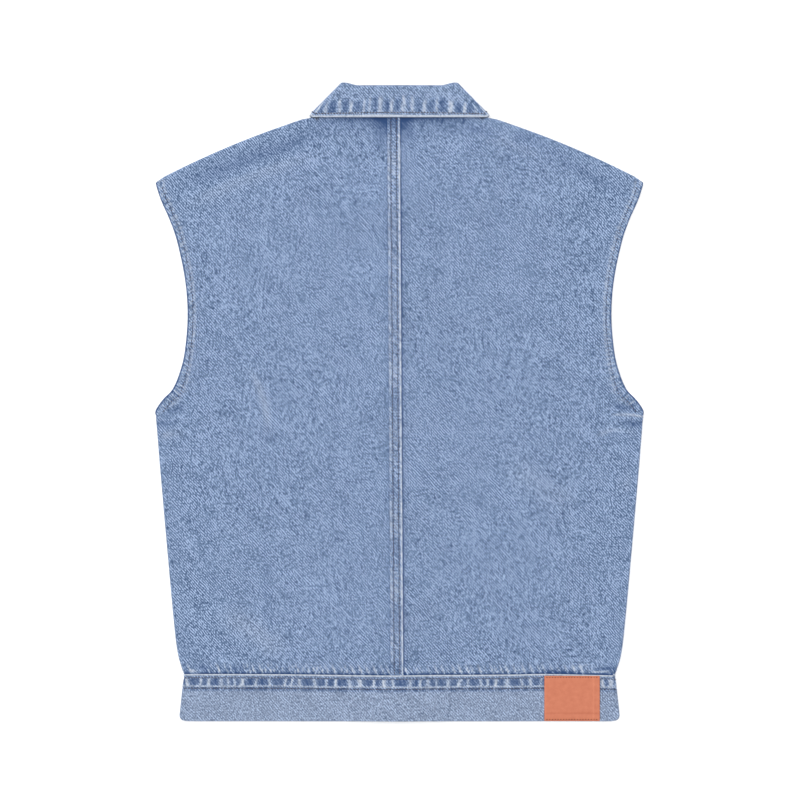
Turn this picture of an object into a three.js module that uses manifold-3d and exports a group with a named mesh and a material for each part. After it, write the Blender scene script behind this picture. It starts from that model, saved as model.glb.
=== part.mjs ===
// Denim vest laid flat on its front with its back up: a boxy sleeveless jacket with dropped shoulders,
// a turned-over collar, one felled seam down the back, a hem band and a leather patch on the band.
// Millimetres, +Z up. +X is the right as seen from above and +Y runs from the hem to the collar.
import * as THREE from 'three';
import { mergeVertices } from 'three/addons/utils/BufferGeometryUtils.js';
import Module from 'manifold-3d';

// Cloth and seams
const ply = 1;
const doubled = 1.8;
const gap = 0.3;
const seamHalf = gap / 2;
const hemExtra = 0.8;
const lap = doubled + gap;
const slack = 0.6;

// Heights and widths of the whole vest
const neckBack = 301.5;
const bandTop = -286.4;
const bandBottom = -335.3;
const bandCorner = 6;
const shoulderStart = 96.8;
const shoulderHeight = 297.3;
const shoulderSlope = 0.31;
const shoulderBend = 0.00067;
const shoulderRun = 160;
const cornerDip = 3;
const tipHeight = 228.1;
const underarm = -14.5;

// The rounded folds at the sides and shoulders, and how far the back wraps past them
const foldRadius = 2.3;
const foldTop = 2 * foldRadius;
const foldArc = Math.PI * foldRadius;
const sideWrap = 4;
const shoulderWrap = 14;

// Neck, placket, felled seam and patch
const neckHalf = 86;
const neckFront = 232;
const neckFrontWide = 88;
const neckFrontTop = 300;
const neckBackDip = 5;
const placketOuter = { from: -18, to: 18 };
const placketUnder = { from: -16, to: 20 };
const felled = { from: -11.3, to: 1.6, thick: 2.4, proud: 0.7 };
const patch = { from: 152, to: 210, top: -288.2, thick: 1.4 };

// Tack buttons: a cap, a post through both plackets and a plate behind
const button = {
  cap: 8.5, capHeight: 2, post: 2.5, hole: 2.8, plate: 5, plateHeight: 0.5, sides: 14, holeSides: 12,
};
const buttonCount = 6;
const buttonTop = 212;
const buttonPitch = 104.6;
const buttonStack = 2 * doubled + 3 * gap;

// Where the cloth changes its level: the place where each change starts and where it is complete
const ramp = {
  collarCorner: [102, 94], // x: the shoulder fold goes down for the collar's corner
  leaf: [-28, -9], // mm inside a side of the collar's front leaf: up on the leaf
  button: [44, 14], // mm from a button: up on its cap
  climb: [46, placketUnder.to + 1], // x: the right front goes up on the outer placket
  waves: [0, 40], // mm inside the outline: the back's waves grow
  plackets: [66, 24], // x: the back goes up on both plackets
  seam: [26, 12], // mm from the felled seam: up on the lapped edges
  pastNeck: [4, 22], // mm above the front neck seam: no front panel lies below
  insideNeck: [neckHalf, neckHalf - 8], // x: as above
  collarStart: [186, 226], // y: up on the collar inside the neck
  collarSide: [126, 96], // x: up on the collar inside the neck
  underLapSide: [60, 24], // x: up on the collar's right end, which lies on the outer placket
  underLapMiddle: [-2, 2],
  underLapLow: [196, 226],
  underLapHigh: [290, 262],
  neckDip: [60, neckHalf], // x: the back's neck seam goes down to the side fold
  shoulder: [neckHalf, neckHalf + 8], // x: the back begins to wrap over the shoulder
  bandSide: [26, 6], // mm inside the outline: the band is pressed flatter at its side
  bandMiddle: [0, 30],
};

// The right edge of the flat body from the shoulder tip down to the hem
const edge = [
  { y: 228.1, half: 255.5 }, { y: 211.3, half: 250.1 }, { y: 190.3, half: 240.8 },
  { y: 169.3, half: 233.4 }, { y: 127.3, half: 224.5 }, { y: 90.5, half: 221.8 },
  { y: 53.8, half: 224.5 }, { y: 32.8, half: 229.1 }, { y: 11.8, half: 237.8 },
  { y: 1.3, half: 247.7 }, { y: -9.2, half: 255.0 }, { y: -14.5, half: 255.8 },
  { y: -30.2, half: 254.5 }, { y: -72.2, half: 251.1 }, { y: -156.2, half: 243.7 },
  { y: -240.2, half: 235.9 }, { y: -267.5, half: 232.1 }, { y: -286.4, half: 226.4 },
  { y: -292.7, half: 227.0 }, { y: -324.2, half: 230.4 }, { y: -335.3, half: 231.4 },
];

// The collar in plan on its front half, from the side fold to the end at the centre front
const collarFront = [
  { neckX: 84, neckY: 297, rollX: 60.5, rollY: 330.5, edgeX: 91.5, edgeY: 297 },
  { neckX: 78.6, neckY: 272.2, rollX: 53, rollY: 306, edgeX: 88, edgeY: 268 },
  { neckX: 60, neckY: 252.6, rollX: 39, rollY: 280, edgeX: 81, edgeY: 240 },
  { neckX: 33, neckY: 238.4, rollX: 20, rollY: 256, edgeX: 73, edgeY: 212 },
  { neckX: 3, neckY: 232.5, rollX: 3, rollY: 240, edgeX: 64, edgeY: 186 },
];
const collarBack = {
  neckX: 84, neckY: neckBack, rollX: 60.5, rollY: 333.2, dip: 3.2, edgeX: 91.5, edgeY: 298.1,
};
const collarLevel = { standBack: 5.2, standFront: 3, fallBack: 7.4, fallFront: 0.9 };
const collarBend = { stand: 1.2, fall: 3.3, outX: 0.732, outY: 0.681 };
const collarDrop = 3.5;

// The two long sides of a collar front leaf in plan: a point on each and the direction into the leaf
const leafSides = [
  { x: 3, y: 240, inX: 0.663, inY: 0.749 },
  { x: 64, y: 186, inX: -0.964, inY: 0.267 },
];

// How the back lies: its waves, and the height that it gains at its folds, its collar and its buttons
const waves = { height: 0.35, x: 41, y: 97, crossY: 58, crossX: 120, right: 0.4, left: 2.1 };
const foldReach = 16;
const collarHeight = 4.7;
const leafShare = 0.35;
const plateRise = 0.9;
const bandSettle = { side: 0.8, middle: 0.1 };

const clamp = (t) => Math.min(1, Math.max(0, t));
const mix = (a, b, t) => a + (b - a) * t;

// 0 at a and 1 at b, with level ends
function ease(a, b, value) {
  const t = clamp((value - a) / (b - a));
  return t * t * (3 - 2 * t);
}

// A smooth curve through the rows of a table, read at a height
function edgeHalf(y) {
  const last = edge.length - 1;
  let i = 0;
  while (i < last - 1 && edge[i + 1].y > y) i += 1;
  const slope = (k) => {
    const a = edge[Math.max(0, k - 1)];
    const b = edge[Math.min(last, k + 1)];
    return (b.half - a.half) / (b.y - a.y);
  };
  const span = edge[i + 1].y - edge[i].y;
  const t = clamp((y - edge[i].y) / span);
  const rise = (2 * t - 3) * t * t;
  return edge[i].half * (1 + rise) - edge[i + 1].half * rise
    + span * t * (1 - t) * (slope(i) * (1 - t) - slope(i + 1) * t);
}

// The outermost line of the shoulder fold, lower where the collar's corner passes round it
function shoulderTop(x) {
  const s = x - shoulderStart;
  const dip = cornerDip * ease(...ramp.collarCorner, x);
  return shoulderHeight - shoulderSlope * s - shoulderBend * s * Math.abs(s) - dip;
}

// Heights: how far each layer lies above the floor

// Where the collar's front leaves lie under the front panels, the panels lie on them
function overLeaf(x, y) {
  const inside = leafSides.map((side) => (Math.abs(x) - side.x) * side.inX + (y - side.y) * side.inY);
  return lap * ease(...ramp.leaf, Math.min(...inside));
}

// Round each button the cloth stands on its cap
function nearButton(x, y) {
  let bump = 0;
  for (let k = 0; k < buttonCount; k += 1) {
    const r = Math.hypot(x, y - buttonTop + k * buttonPitch);
    bump = Math.max(bump, ease(...ramp.button, r));
  }
  return bump;
}

function frontFloor(x, y) {
  return Math.max(overLeaf(x, y), (button.capHeight + gap) * nearButton(x, y));
}

// The right front climbs on to the outer placket
function rightFloor(x, y) {
  return frontFloor(x, y) + lap * ease(...ramp.climb, x);
}

// The seam of the front neck: a quarter of an ellipse on each side
function neckCurve(x) {
  const share = Math.min(1, x / neckFrontWide);
  return neckFrontTop - (neckFrontTop - neckFront) * Math.sqrt(1 - share * share);
}

function sideFloor(side) {
  return side > 0 ? rightFloor : frontFloor;
}

// The underside of the back: on the front panels, the plackets and the collar, and raised at the folds
function backFloor(x, y) {
  const ax = Math.abs(x);
  const toEdge = Math.min(edgeHalf(Math.min(y, tipHeight)) - ax, shoulderTop(ax) - y);
  const rise = (foldTop - 2 * ply - slack) * Math.exp(-Math.max(0, toEdge) / foldReach);
  const phase = x > 0 ? waves.right : waves.left;
  const swell = Math.sin(ax / waves.x + y / waves.y + phase) * Math.sin(y / waves.crossY - ax / waves.crossX);
  const wave = waves.height * (1 + swell) * ease(...ramp.waves, toEdge);
  const onPlackets = (2 * lap - ply - gap) * ease(...ramp.plackets, ax);
  const plates = plateRise * nearButton(x, y);
  const open = ply + slack + leafShare * overLeaf(x, y) + Math.max(rise, wave, onPlackets);
  const seam = felled.proud * ease(...ramp.seam, Math.abs(x - (felled.from + felled.to) / 2));
  const pastSeam = ease(...ramp.pastNeck, y - neckCurve(ax));
  const onFront = 1 - pastSeam * ease(...ramp.insideNeck, ax);
  const neck = collarHeight * ease(...ramp.collarStart, y) * ease(...ramp.collarSide, ax);
  const neckRight = lap * ease(...ramp.underLapSide, x) * ease(...ramp.underLapMiddle, x)
    * ease(...ramp.underLapLow, y) * ease(...ramp.underLapHigh, y);
  return Math.max(onFront * (frontFloor(x, y) + open + plates) + seam, neck + neckRight);
}

// Building walls

// A closed wall of cloth: the skin's points over a grid, thickened along the skin's own normals by
// above and below, with edges that close it. up is the way that the skin's middle faces.
function wall(columns, rows, skin, above, below, up) {
  const points = [];
  for (let j = 0; j < rows; j += 1) {
    for (let i = 0; i < columns; i += 1) points.push(skin(i, j));
  }
  const at = (i, j) => points[Math.min(rows - 1, Math.max(0, j)) * columns
    + Math.min(columns - 1, Math.max(0, i))];
  const normal = (i, j) => {
    const across = at(i + 1, j).clone().sub(at(i - 1, j));
    const along = at(i, j + 1).clone().sub(at(i, j - 1));
    return across.cross(along).normalize();
  };
  const middle = normal(Math.floor(columns / 2), Math.floor(rows / 2));
  const turn = Math.sign(middle.z) * up;
  const positions = [];
  for (const layer of [1, -1]) {
    for (let j = 0; j < rows; j += 1) {
      for (let i = 0; i < columns; i += 1) {
        const reach = layer > 0 ? above(i, j) : -below(i, j);
        const p = at(i, j).clone().addScaledVector(normal(i, j), reach * turn);
        positions.push(p.x, p.y, p.z);
      }
    }
  }
  const size = columns * rows;
  const index = [];
  const quad = (a, b, c, d) => index.push(a, b, c, a, c, d);
  for (let j = 0; j < rows - 1; j += 1) {
    for (let i = 0; i < columns - 1; i += 1) {
      const a = j * columns + i;
      quad(a, a + 1, a + 1 + columns, a + columns);
      quad(size + a, size + a + columns, size + a + 1 + columns, size + a + 1);
    }
  }
  const rim = [];
  for (let i = 0; i < columns - 1; i += 1) rim.push(i);
  for (let j = 0; j < rows - 1; j += 1) rim.push(j * columns + columns - 1);
  for (let i = columns - 1; i > 0; i -= 1) rim.push((rows - 1) * columns + i);
  for (let j = rows - 1; j > 0; j -= 1) rim.push(j * columns);
  rim.forEach((a, k) => {
    const b = rim[(k + 1) % rim.length];
    quad(b, a, size + a, size + b);
  });
  const geometry = new THREE.BufferGeometry();
  geometry.setAttribute('position', new THREE.Float32BufferAttribute(positions, 3));
  if (volume(positions, index) < 0) {
    for (let k = 0; k < index.length; k += 3) [index[k], index[k + 1]] = [index[k + 1], index[k]];
  }
  geometry.setIndex(index);
  return geometry;
}

function volume(positions, index) {
  const corner = (k) => new THREE.Vector3().fromArray(positions, index[k] * 3);
  let sum = 0;
  for (let k = 0; k < index.length; k += 3) {
    sum += corner(k).dot(corner(k + 1).cross(corner(k + 2)));
  }
  return sum / 6;
}

// A place past a fold line: straight on before it, round the fold, then back under. Gives the reach in
// plan from the line, and how much of the upper level is left.
function fold(distance, radius) {
  const arc = Math.PI * radius;
  if (distance <= 0) return { reach: distance, upper: 1 };
  if (distance >= arc) return { reach: arc - distance, upper: 0 };
  const angle = distance / radius;
  return { reach: radius * Math.sin(angle), upper: (1 + Math.cos(angle)) / 2 };
}

function material(color, roughness, metalness) {
  return new THREE.MeshStandardMaterial({ color, roughness, metalness });
}

const denim = material(0x869cbb, 0.9, 0);
const leather = material(0xd98567, 0.6, 0);
const metal = material(0x8a8078, 0.4, 0.9);

function piece(name, geometry, finish) {
  const mesh = new THREE.Mesh(geometry, finish);
  mesh.name = name;
  return mesh;
}

// The body panels

// Columns of a panel: fractions of the way from the centre to the edge, then the columns at the hem of
// the armhole or round the side fold, as distances past the edge line. The hem is thicker from its
// third column on.
const hemStart = 2;
const lastShare = 0.93;
const hemColumns = [-10, -7.4, -6.8, -3.4, 0];
const sideColumns = [-6, 0, foldArc / 4, foldArc / 2, foldArc * 0.75, foldArc, foldArc + sideWrap];
const hemInBack = [-10, -7.4, -6.8, -4.6, -2.4, -1.2, 0];

// Columns given by their places at the neck, and then more at even spaces out to the edge columns
function columnShares(places, inner, outer, count) {
  const shares = places.map((x) => (x - inner) / (outer - inner));
  const start = shares[shares.length - 1];
  for (let k = 1; k <= count; k += 1) shares.push(mix(start, lastShare, k / count));
  return shares;
}

// 0 down the armhole and 1 down the side, changing just under the underarm
const onSide = (y) => ease(underarm + 2, underarm - 5, y);

// Rows of a panel from its top down, closer at the underarm, as heights at the side
function sideRows(top) {
  const rows = [];
  const above = 9;
  const below = 9;
  for (let k = 0; k <= above; k += 1) rows.push(mix(top, underarm + 4, k / above));
  rows.push(underarm, underarm - 3.5);
  for (let k = 0; k <= below; k += 1) rows.push(mix(underarm - 8, bandTop + seamHalf, k / below));
  return rows;
}

// How far across a slanting hem is, measured level
function hemStretch(y) {
  const step = 2;
  const most = 1.7;
  const slope = (edgeHalf(y + step) - edgeHalf(y - step)) / (2 * step);
  return Math.min(most, Math.hypot(1, slope));
}

// The place of a panel's grid point on the flat: rows fall from the shape of the top edge to level. The
// outer line stands back from the outline by as much as the fold reaches out from it.
function panelPlace(inner, topShape, topY, sideY, y, past, fraction) {
  const t = (sideY - y) / (sideY - bandTop - seamHalf);
  const turned = (foldArc + sideWrap) * onSide(y) / foldRadius;
  const outer = edgeHalf(y) - foldRadius * Math.sin(Math.min(Math.PI / 2, turned));
  const x = past === null ? mix(inner, outer, fraction) : outer + past;
  const f = clamp((x - inner) / (outer - inner));
  const centre = mix(topY, bandTop + seamHalf, t);
  const straight = mix(centre, y, f);
  const shape = topShape(f) - mix(topY, sideY, f);
  return { x, y: straight + shape * (1 - t) * (1 - t) };
}

function backPanel(side) {
  const inner = side > 0 ? felled.to + gap : -felled.from + gap;
  const wrapLength = foldArc + shoulderWrap;
  const topRows = [0, shoulderWrap / 2, shoulderWrap];
  for (let k = 1; k <= 4; k += 1) topRows.push(shoulderWrap + foldArc * k / 4);
  const outerTop = edgeHalf(tipHeight);
  const fractions = columnShares([inner, 24, 46, 66, neckHalf - 1, neckHalf + 4, neckHalf + 10], inner,
    outerTop, 5);
  const neckEdge = (x) => neckBack - gap - neckBackDip * ease(...ramp.neckDip, x);
  const onShoulder = (x) => ease(...ramp.shoulder, x);
  const slope = (x) => shoulderSlope + 2 * shoulderBend * Math.max(0, x - shoulderStart);
  const foldLine = (x) => mix(neckEdge(x) - wrapLength, shoulderTop(x) - foldRadius * Math.hypot(1, slope(x)),
    onShoulder(x));
  const topShape = (f) => foldLine(mix(inner, outerTop, f));
  const levels = sideRows(tipHeight).slice(1);
  const columns = fractions.length + sideColumns.length;
  const rows = topRows.length + levels.length;
  const skin = (i, j) => {
    const edgeColumn = i - fractions.length;
    if (j < topRows.length) {
      const x = edgeColumn < 0 ? mix(inner, outerTop, fractions[i]) : outerTop + hemInBack[edgeColumn];
      const lean = Math.hypot(1, slope(x));
      const share = onShoulder(x);
      const bend = fold(wrapLength * share - topRows[j], foldRadius);
      const nx = share * slope(x) / lean;
      const ny = mix(1, 1 / lean, share);
      const baseY = mix(neckEdge(x), foldLine(x), share);
      const px = x + nx * bend.reach;
      const py = baseY + ny * bend.reach;
      const z = mix(sideFloor(side)(side * px, py), backFloor(side * px, py) + ply, bend.upper);
      return new THREE.Vector3(side * px, py, z);
    }
    const y = levels[j - topRows.length];
    const s = onSide(y);
    const hem = edgeColumn < 0 ? 0 : hemInBack[edgeColumn] * hemStretch(y);
    const distance = edgeColumn < 0 ? 0 : mix(hem, sideColumns[edgeColumn], s);
    const bend = fold(distance, foldRadius);
    const past = edgeColumn < 0 ? null : bend.reach;
    const p = panelPlace(inner, topShape, topShape(0), tipHeight, y, past, fractions[i]);
    const z = mix(sideFloor(side)(side * p.x, p.y), backFloor(side * p.x, p.y) + ply, bend.upper);
    return new THREE.Vector3(side * p.x, p.y, z);
  };
  const thick = (i, j) => {
    const level = j < topRows.length ? tipHeight : levels[j - topRows.length];
    const inHem = i - fractions.length >= hemStart ? 1 - onSide(level) : 0;
    return ply + hemExtra * inHem;
  };
  return wall(columns, rows, skin, () => 0, thick, 1);
}

function frontPanel(side) {
  const inner = (side > 0 ? placketUnder.to : -placketOuter.from) + gap;
  const slopeTip = 0.5;
  const sideShare = 0.8;
  const seamDrop = foldRadius + shoulderWrap + gap;
  const sideTop = tipHeight - shoulderWrap - gap;
  const outerTop = edgeHalf(sideTop);
  const slope = (x) => mix(shoulderSlope, slopeTip, clamp((x - neckHalf) / shoulderRun));
  const seamLine = (x) => shoulderTop(x) - seamDrop * Math.hypot(1, slope(x));
  const topShape = (f) => {
    const x = mix(inner, outerTop, f);
    return Math.min(neckCurve(x) - seamHalf, seamLine(x));
  };
  const fractions = columnShares([inner, 34, 48, 60, 70, 78, 83.5, neckFrontWide], inner, outerTop, 4);
  const levels = sideRows(sideTop);
  const columns = fractions.length + hemColumns.length;
  const skin = (i, j) => {
    const y = levels[j];
    const s = onSide(y);
    const edgeColumn = i - fractions.length;
    const side0 = edgeColumn < 0 ? 0 : hemColumns[edgeColumn] * hemStretch(y);
    const side1 = edgeColumn < 0 ? 0 : -sideWrap - gap + hemColumns[edgeColumn] * sideShare;
    const past = edgeColumn < 0 ? null : mix(side0, side1, s);
    const p = panelPlace(inner, topShape, topShape(0), sideTop, y, past, fractions[i]);
    return new THREE.Vector3(side * p.x, p.y, sideFloor(side)(side * p.x, p.y));
  };
  const thick = (i, j) => ply + (i - fractions.length >= hemStart ? hemExtra * (1 - onSide(levels[j])) : 0);
  return wall(columns, levels.length, skin, () => 0, thick, -1);
}

// The felled seam: a strip of lapped cloth down the middle of the back
function felledSeam() {
  const across = [felled.from, (felled.from + felled.to) / 2, felled.to];
  const count = 36;
  const skin = (i, j) => {
    const y = mix(neckBack - seamHalf, bandTop + seamHalf, j / count);
    return new THREE.Vector3(across[i], y, backFloor(across[i], y) - felled.proud);
  };
  return wall(across.length, count + 1, skin, () => felled.thick, () => 0, 1);
}

// Plackets: doubled strips down the centre front, the outer one with its buttonholes
function placket(limits, level) {
  const across = [0, 0.3, 0.7, 1].map((t) => mix(limits.from, limits.to, t));
  const count = 38;
  const skin = (i, j) => {
    const x = across[i];
    const y = mix(neckFront - seamHalf, bandTop + seamHalf, j / count);
    return new THREE.Vector3(x, y, frontFloor(x, y) + level);
  };
  return wall(across.length, count + 1, skin, () => doubled, () => 0, 1);
}

// The hem band: one doubled strip that starts on the outer lap at the centre front, runs round the left
// side, across the back and round the right side, and ends on the under lap
const bandRows = [0, 0.3, 0.6, 0.87, 0.95, 1];
function hemBand() {
  const stations = [];
  for (const x of [18, 6, -6, -18, -32, -46]) stations.push({ plan: x, level: 0 });
  for (const t of [0.4, 0.8]) stations.push({ side: -1, frontShare: t });
  for (let k = 4; k >= 0; k -= 1) stations.push({ side: -1, turn: k / 4 });
  for (const x of [-200, -150, -105, -70, -42, -20, 0, 20, 42, 70, 105, 150, 200]) {
    stations.push({ backX: x });
  }
  for (let k = 0; k <= 4; k += 1) stations.push({ side: 1, turn: k / 4 });
  for (const t of [0.8, 0.4]) stations.push({ side: 1, frontShare: t });
  for (const x of [46, 36, 28, 20, 8, -4, -16]) stations.push({ plan: x, level: lap });
  const skin = (i, j) => {
    const s = stations[i];
    const y = mix(bandTop - seamHalf, bandBottom, bandRows[j]);
    const corner = Math.max(0, bandBottom + bandCorner - y);
    const line = edgeHalf(y) - bandCorner + Math.sqrt(bandCorner ** 2 - corner ** 2) - foldRadius;
    if (s.plan !== undefined) {
      const climb = s.level === 0 ? 0 : lap * ease(...ramp.climb, s.plan);
      return new THREE.Vector3(s.plan, y, frontFloor(s.plan, y) + climb);
    }
    if (s.frontShare !== undefined) {
      const x = s.side * mix(ramp.climb[0], line, s.frontShare);
      return new THREE.Vector3(x, y, frontFloor(x, y));
    }
    if (s.turn !== undefined) {
      const bend = fold(foldArc * s.turn, foldRadius);
      const x = s.side * (line + bend.reach);
      return new THREE.Vector3(x, y, mix(0, bandSkin(s.side * line, y), bend.upper));
    }
    return new THREE.Vector3(s.backX, y, bandSkin(s.backX, y));
  };
  return wall(stations.length, bandRows.length, skin, () => 0, () => doubled, 1);
}

// The upper face of the band on the back
function bandSkin(x, y) {
  const toEdge = edgeHalf(y) - Math.abs(x);
  const middle = bandSettle.middle * ease(...ramp.bandMiddle, toEdge);
  return backFloor(x, y) + doubled + middle - bandSettle.side * ease(...ramp.bandSide, toEdge);
}

// The leather patch, laid on the band and flush with its lower edge
function leatherPatch() {
  const columns = 9;
  const rows = 7;
  const skin = (i, j) => {
    const x = mix(patch.from, patch.to, i / (columns - 1));
    const y = mix(patch.top, bandBottom, j / (rows - 1));
    return new THREE.Vector3(x, y, bandSkin(x, y) + gap);
  };
  return wall(columns, rows, skin, () => patch.thick, () => 0, 1);
}

// The collar is a doubled leaf. It stands up from the neck seam, rolls over and falls to its edge, and
// it bends round the two side folds.
function collarStations() {
  const half = [];
  for (const x of [0, 0.25, 0.5, 0.75, 0.93]) half.push({ back: x });
  for (let k = 0; k <= 4; k += 1) half.push({ turn: k / 4 });
  for (let k = 1; k <= 7; k += 1) half.push({ front: k / 7 });
  return half;
}

// A smooth line through one pair of columns of the collar's table
function collarLine(name, t) {
  const points = collarFront.map((row) => new THREE.Vector3(row[`${name}X`], row[`${name}Y`], 0));
  return new THREE.CatmullRomCurve3(points, false, 'centripetal').getPoint(t);
}

// A point of the collar in plan with its height. layer is stand or fall; line is neck, roll or edge.
function collarPoint(side, station, layer, line) {
  const top = collarLevel[`${layer}Back`];
  const bottom = collarLevel[`${layer}Front`];
  const radius = collarBend[layer];
  const start = { x: collarBack[`${line}X`], y: collarBack[`${line}Y`] };
  const end = collarLine(line, 0);
  if (station.back !== undefined) {
    const x = start.x * station.back;
    const dip = line === 'roll' ? collarBack.dip * (1 - ease(0.5, 1, station.back)) : 0;
    const drop = line === 'neck' ? collarDrop * ease(...ramp.neckDip, x) - seamHalf : 0;
    return new THREE.Vector3(side * x, start.y - dip - drop, top);
  }
  if (station.turn !== undefined) {
    const bend = fold(Math.PI * radius * station.turn, radius);
    const drop = line === 'neck' ? collarDrop - seamHalf : 0;
    const x = mix(start.x, end.x, station.turn) + collarBend.outX * Math.max(0, bend.reach);
    const y = mix(start.y - drop, end.y, station.turn) + collarBend.outY * Math.max(0, bend.reach);
    return new THREE.Vector3(side * x, y, mix(bottom, top, bend.upper));
  }
  const p = collarLine(line, station.front);
  const climb = layer === 'stand' && side > 0 ? lap * ease(...ramp.climb, p.x) : 0;
  return new THREE.Vector3(side * p.x, p.y, bottom + climb);
}

function collar() {
  const half = collarStations();
  const stations = [];
  for (let k = half.length - 1; k > 0; k -= 1) stations.push({ side: -1, at: half[k] });
  for (const at of half) stations.push({ side: 1, at });
  const standShares = [0, 0.5, 1];
  const rollTurns = [1 / 4, 1 / 2, 3 / 4];
  const fallShares = [0, 0.35, 0.7, 1];
  const rows = standShares.length + rollTurns.length + fallShares.length;
  const skin = (i, j) => {
    const { side, at } = stations[i];
    const point = (layer, line) => collarPoint(side, at, layer, line);
    const stand = (t) => point('stand', 'neck').lerp(point('stand', 'roll'), t);
    const fall = (t) => point('fall', 'roll').lerp(point('fall', 'edge'), t);
    if (j < standShares.length) return stand(standShares[j]);
    const k = j - standShares.length;
    if (k >= rollTurns.length) return fall(fallShares[k - rollTurns.length]);
    const low = stand(1);
    const high = fall(0);
    const angle = Math.PI * rollTurns[k];
    const away = low.clone().sub(stand(0)).setZ(0).normalize();
    const reach = low.distanceTo(high) / 2;
    return low.lerp(high, (1 - Math.cos(angle)) / 2).addScaledVector(away, reach * Math.sin(angle));
  };
  return wall(stations.length, rows, skin, () => doubled / 2, () => doubled / 2, 1);
}

// Buttons, and the holes that their posts pass through
const wasm = await Module();
wasm.setup();

function toSolid(geometry) {
  const plain = geometry.clone();
  plain.deleteAttribute('normal');
  plain.deleteAttribute('uv');
  const merged = mergeVertices(plain, 1e-4);
  return new wasm.Manifold(new wasm.Mesh({
    numProp: 3,
    vertProperties: new Float32Array(merged.attributes.position.array),
    triVerts: new Uint32Array(merged.index.array),
  }));
}

function toGeometry(solid) {
  const mesh = solid.getMesh();
  const geometry = new THREE.BufferGeometry();
  geometry.setAttribute('position', new THREE.Float32BufferAttribute(mesh.vertProperties, 3));
  geometry.setIndex(Array.from(mesh.triVerts));
  return geometry;
}

function buttonHeight(k) {
  return buttonTop - k * buttonPitch;
}

// The lathe turns about +Y, so a quarter turn brings its axis upright
function tackButton() {
  const base = button.capHeight;
  const plateUnder = base + buttonStack;
  const plateTop = plateUnder + button.plateHeight;
  const profile = [
    { r: 0, z: 0 }, { r: button.cap * 0.7, z: 0 }, { r: button.cap * 0.93, z: base * 0.225 },
    { r: button.cap, z: base * 0.55 }, { r: button.cap * 0.96, z: base }, { r: button.post, z: base },
    { r: button.post, z: plateUnder }, { r: button.plate, z: plateUnder }, { r: button.plate, z: plateTop },
    { r: 0, z: plateTop },
  ].map(({ r, z }) => new THREE.Vector2(r, z));
  return new THREE.LatheGeometry(profile, button.sides).rotateX(Math.PI / 2);
}

// Drills the holes of the buttons from one number up to another through a piece
function buttonHoles(geometry, from, to) {
  const top = button.capHeight + buttonStack + gap / 2;
  const start = -1;
  let solid = toSolid(geometry);
  for (let k = from; k < to; k += 1) {
    const drill = new THREE.CylinderGeometry(button.hole, button.hole, top - start, button.holeSides);
    drill.rotateX(Math.PI / 2).translate(0, buttonHeight(k), (top + start) / 2);
    solid = solid.subtract(toSolid(drill));
  }
  return toGeometry(solid);
}

const vest = new THREE.Group();
vest.add(
  piece('back_left', backPanel(-1), denim),
  piece('back_right', backPanel(1), denim),
  piece('back_centre_seam', felledSeam(), denim),
  piece('front_left', frontPanel(-1), denim),
  piece('front_right', frontPanel(1), denim),
  piece('placket_left', buttonHoles(placket(placketOuter, 0), 0, buttonCount - 1), denim),
  piece('placket_right', buttonHoles(placket(placketUnder, lap), 0, buttonCount - 1), denim),
  piece('hem_band', buttonHoles(hemBand(), buttonCount - 1, buttonCount), denim),
  piece('collar', collar(), denim),
  piece('label_patch', leatherPatch(), leather),
);
for (let k = 0; k < buttonCount; k += 1) {
  const tack = piece(`button_${k + 1}`, tackButton(), metal);
  tack.position.set(0, buttonHeight(k), 0);
  vest.add(tack);
}

export default vest;
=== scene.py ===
import bpy
import numpy as np
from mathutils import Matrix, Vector


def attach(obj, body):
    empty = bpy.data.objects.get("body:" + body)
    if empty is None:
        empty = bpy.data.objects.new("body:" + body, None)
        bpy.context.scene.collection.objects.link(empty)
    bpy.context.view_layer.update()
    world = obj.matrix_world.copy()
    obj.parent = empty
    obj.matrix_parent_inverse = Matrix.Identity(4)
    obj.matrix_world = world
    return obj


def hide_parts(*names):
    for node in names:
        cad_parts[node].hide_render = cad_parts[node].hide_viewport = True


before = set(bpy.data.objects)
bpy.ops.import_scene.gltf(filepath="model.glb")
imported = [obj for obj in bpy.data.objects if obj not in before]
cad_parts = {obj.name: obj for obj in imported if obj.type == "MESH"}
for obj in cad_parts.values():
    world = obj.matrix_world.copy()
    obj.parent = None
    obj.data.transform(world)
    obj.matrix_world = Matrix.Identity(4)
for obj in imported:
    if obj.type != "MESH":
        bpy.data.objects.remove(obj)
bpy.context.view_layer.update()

mm = 0.001

# Camera and light. A flat garment shot from straight above on a pale floor, with a long lens, a wide soft
# light from the upper left and an even fill from all round.
scene = bpy.context.scene
image_width_mm = 840
camera_height = 4.0
sensor_mm = 36
look_at = (0.5 * mm, 1.3 * mm)
camera_data = bpy.data.cameras.new("camera")
camera_data.sensor_width = sensor_mm
camera_data.lens = camera_height / (image_width_mm * mm) * sensor_mm
camera_data.clip_end = 50
camera = bpy.data.objects.new("camera", camera_data)
camera.location = (look_at[0], look_at[1], camera_height)
scene.collection.objects.link(camera)
scene.camera = camera
scene.view_settings.view_transform = "Standard"


def area_light(name, place, size, watts):
    """A square soft light at place that faces the origin."""
    data = bpy.data.lights.new(name, "AREA")
    data.shape = "SQUARE"
    data.size = size
    data.energy = watts
    light = bpy.data.objects.new(name, data)
    light.location = place
    light.rotation_euler = (-Vector(place)).to_track_quat("-Z", "Y").to_euler()
    scene.collection.objects.link(light)


area_light("key_light", (-2.4, 3.2, 2.9), 1.6, 105)
area_light("top_light", (0.3, 0.2, 5.0), 3.0, 80)
world = bpy.data.worlds.new("studio")
world.use_nodes = True
sky = world.node_tree.nodes["Background"]
sky.inputs["Color"].default_value = (1, 1, 1, 1)
sky.inputs["Strength"].default_value = 0.97
scene.world = world


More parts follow.
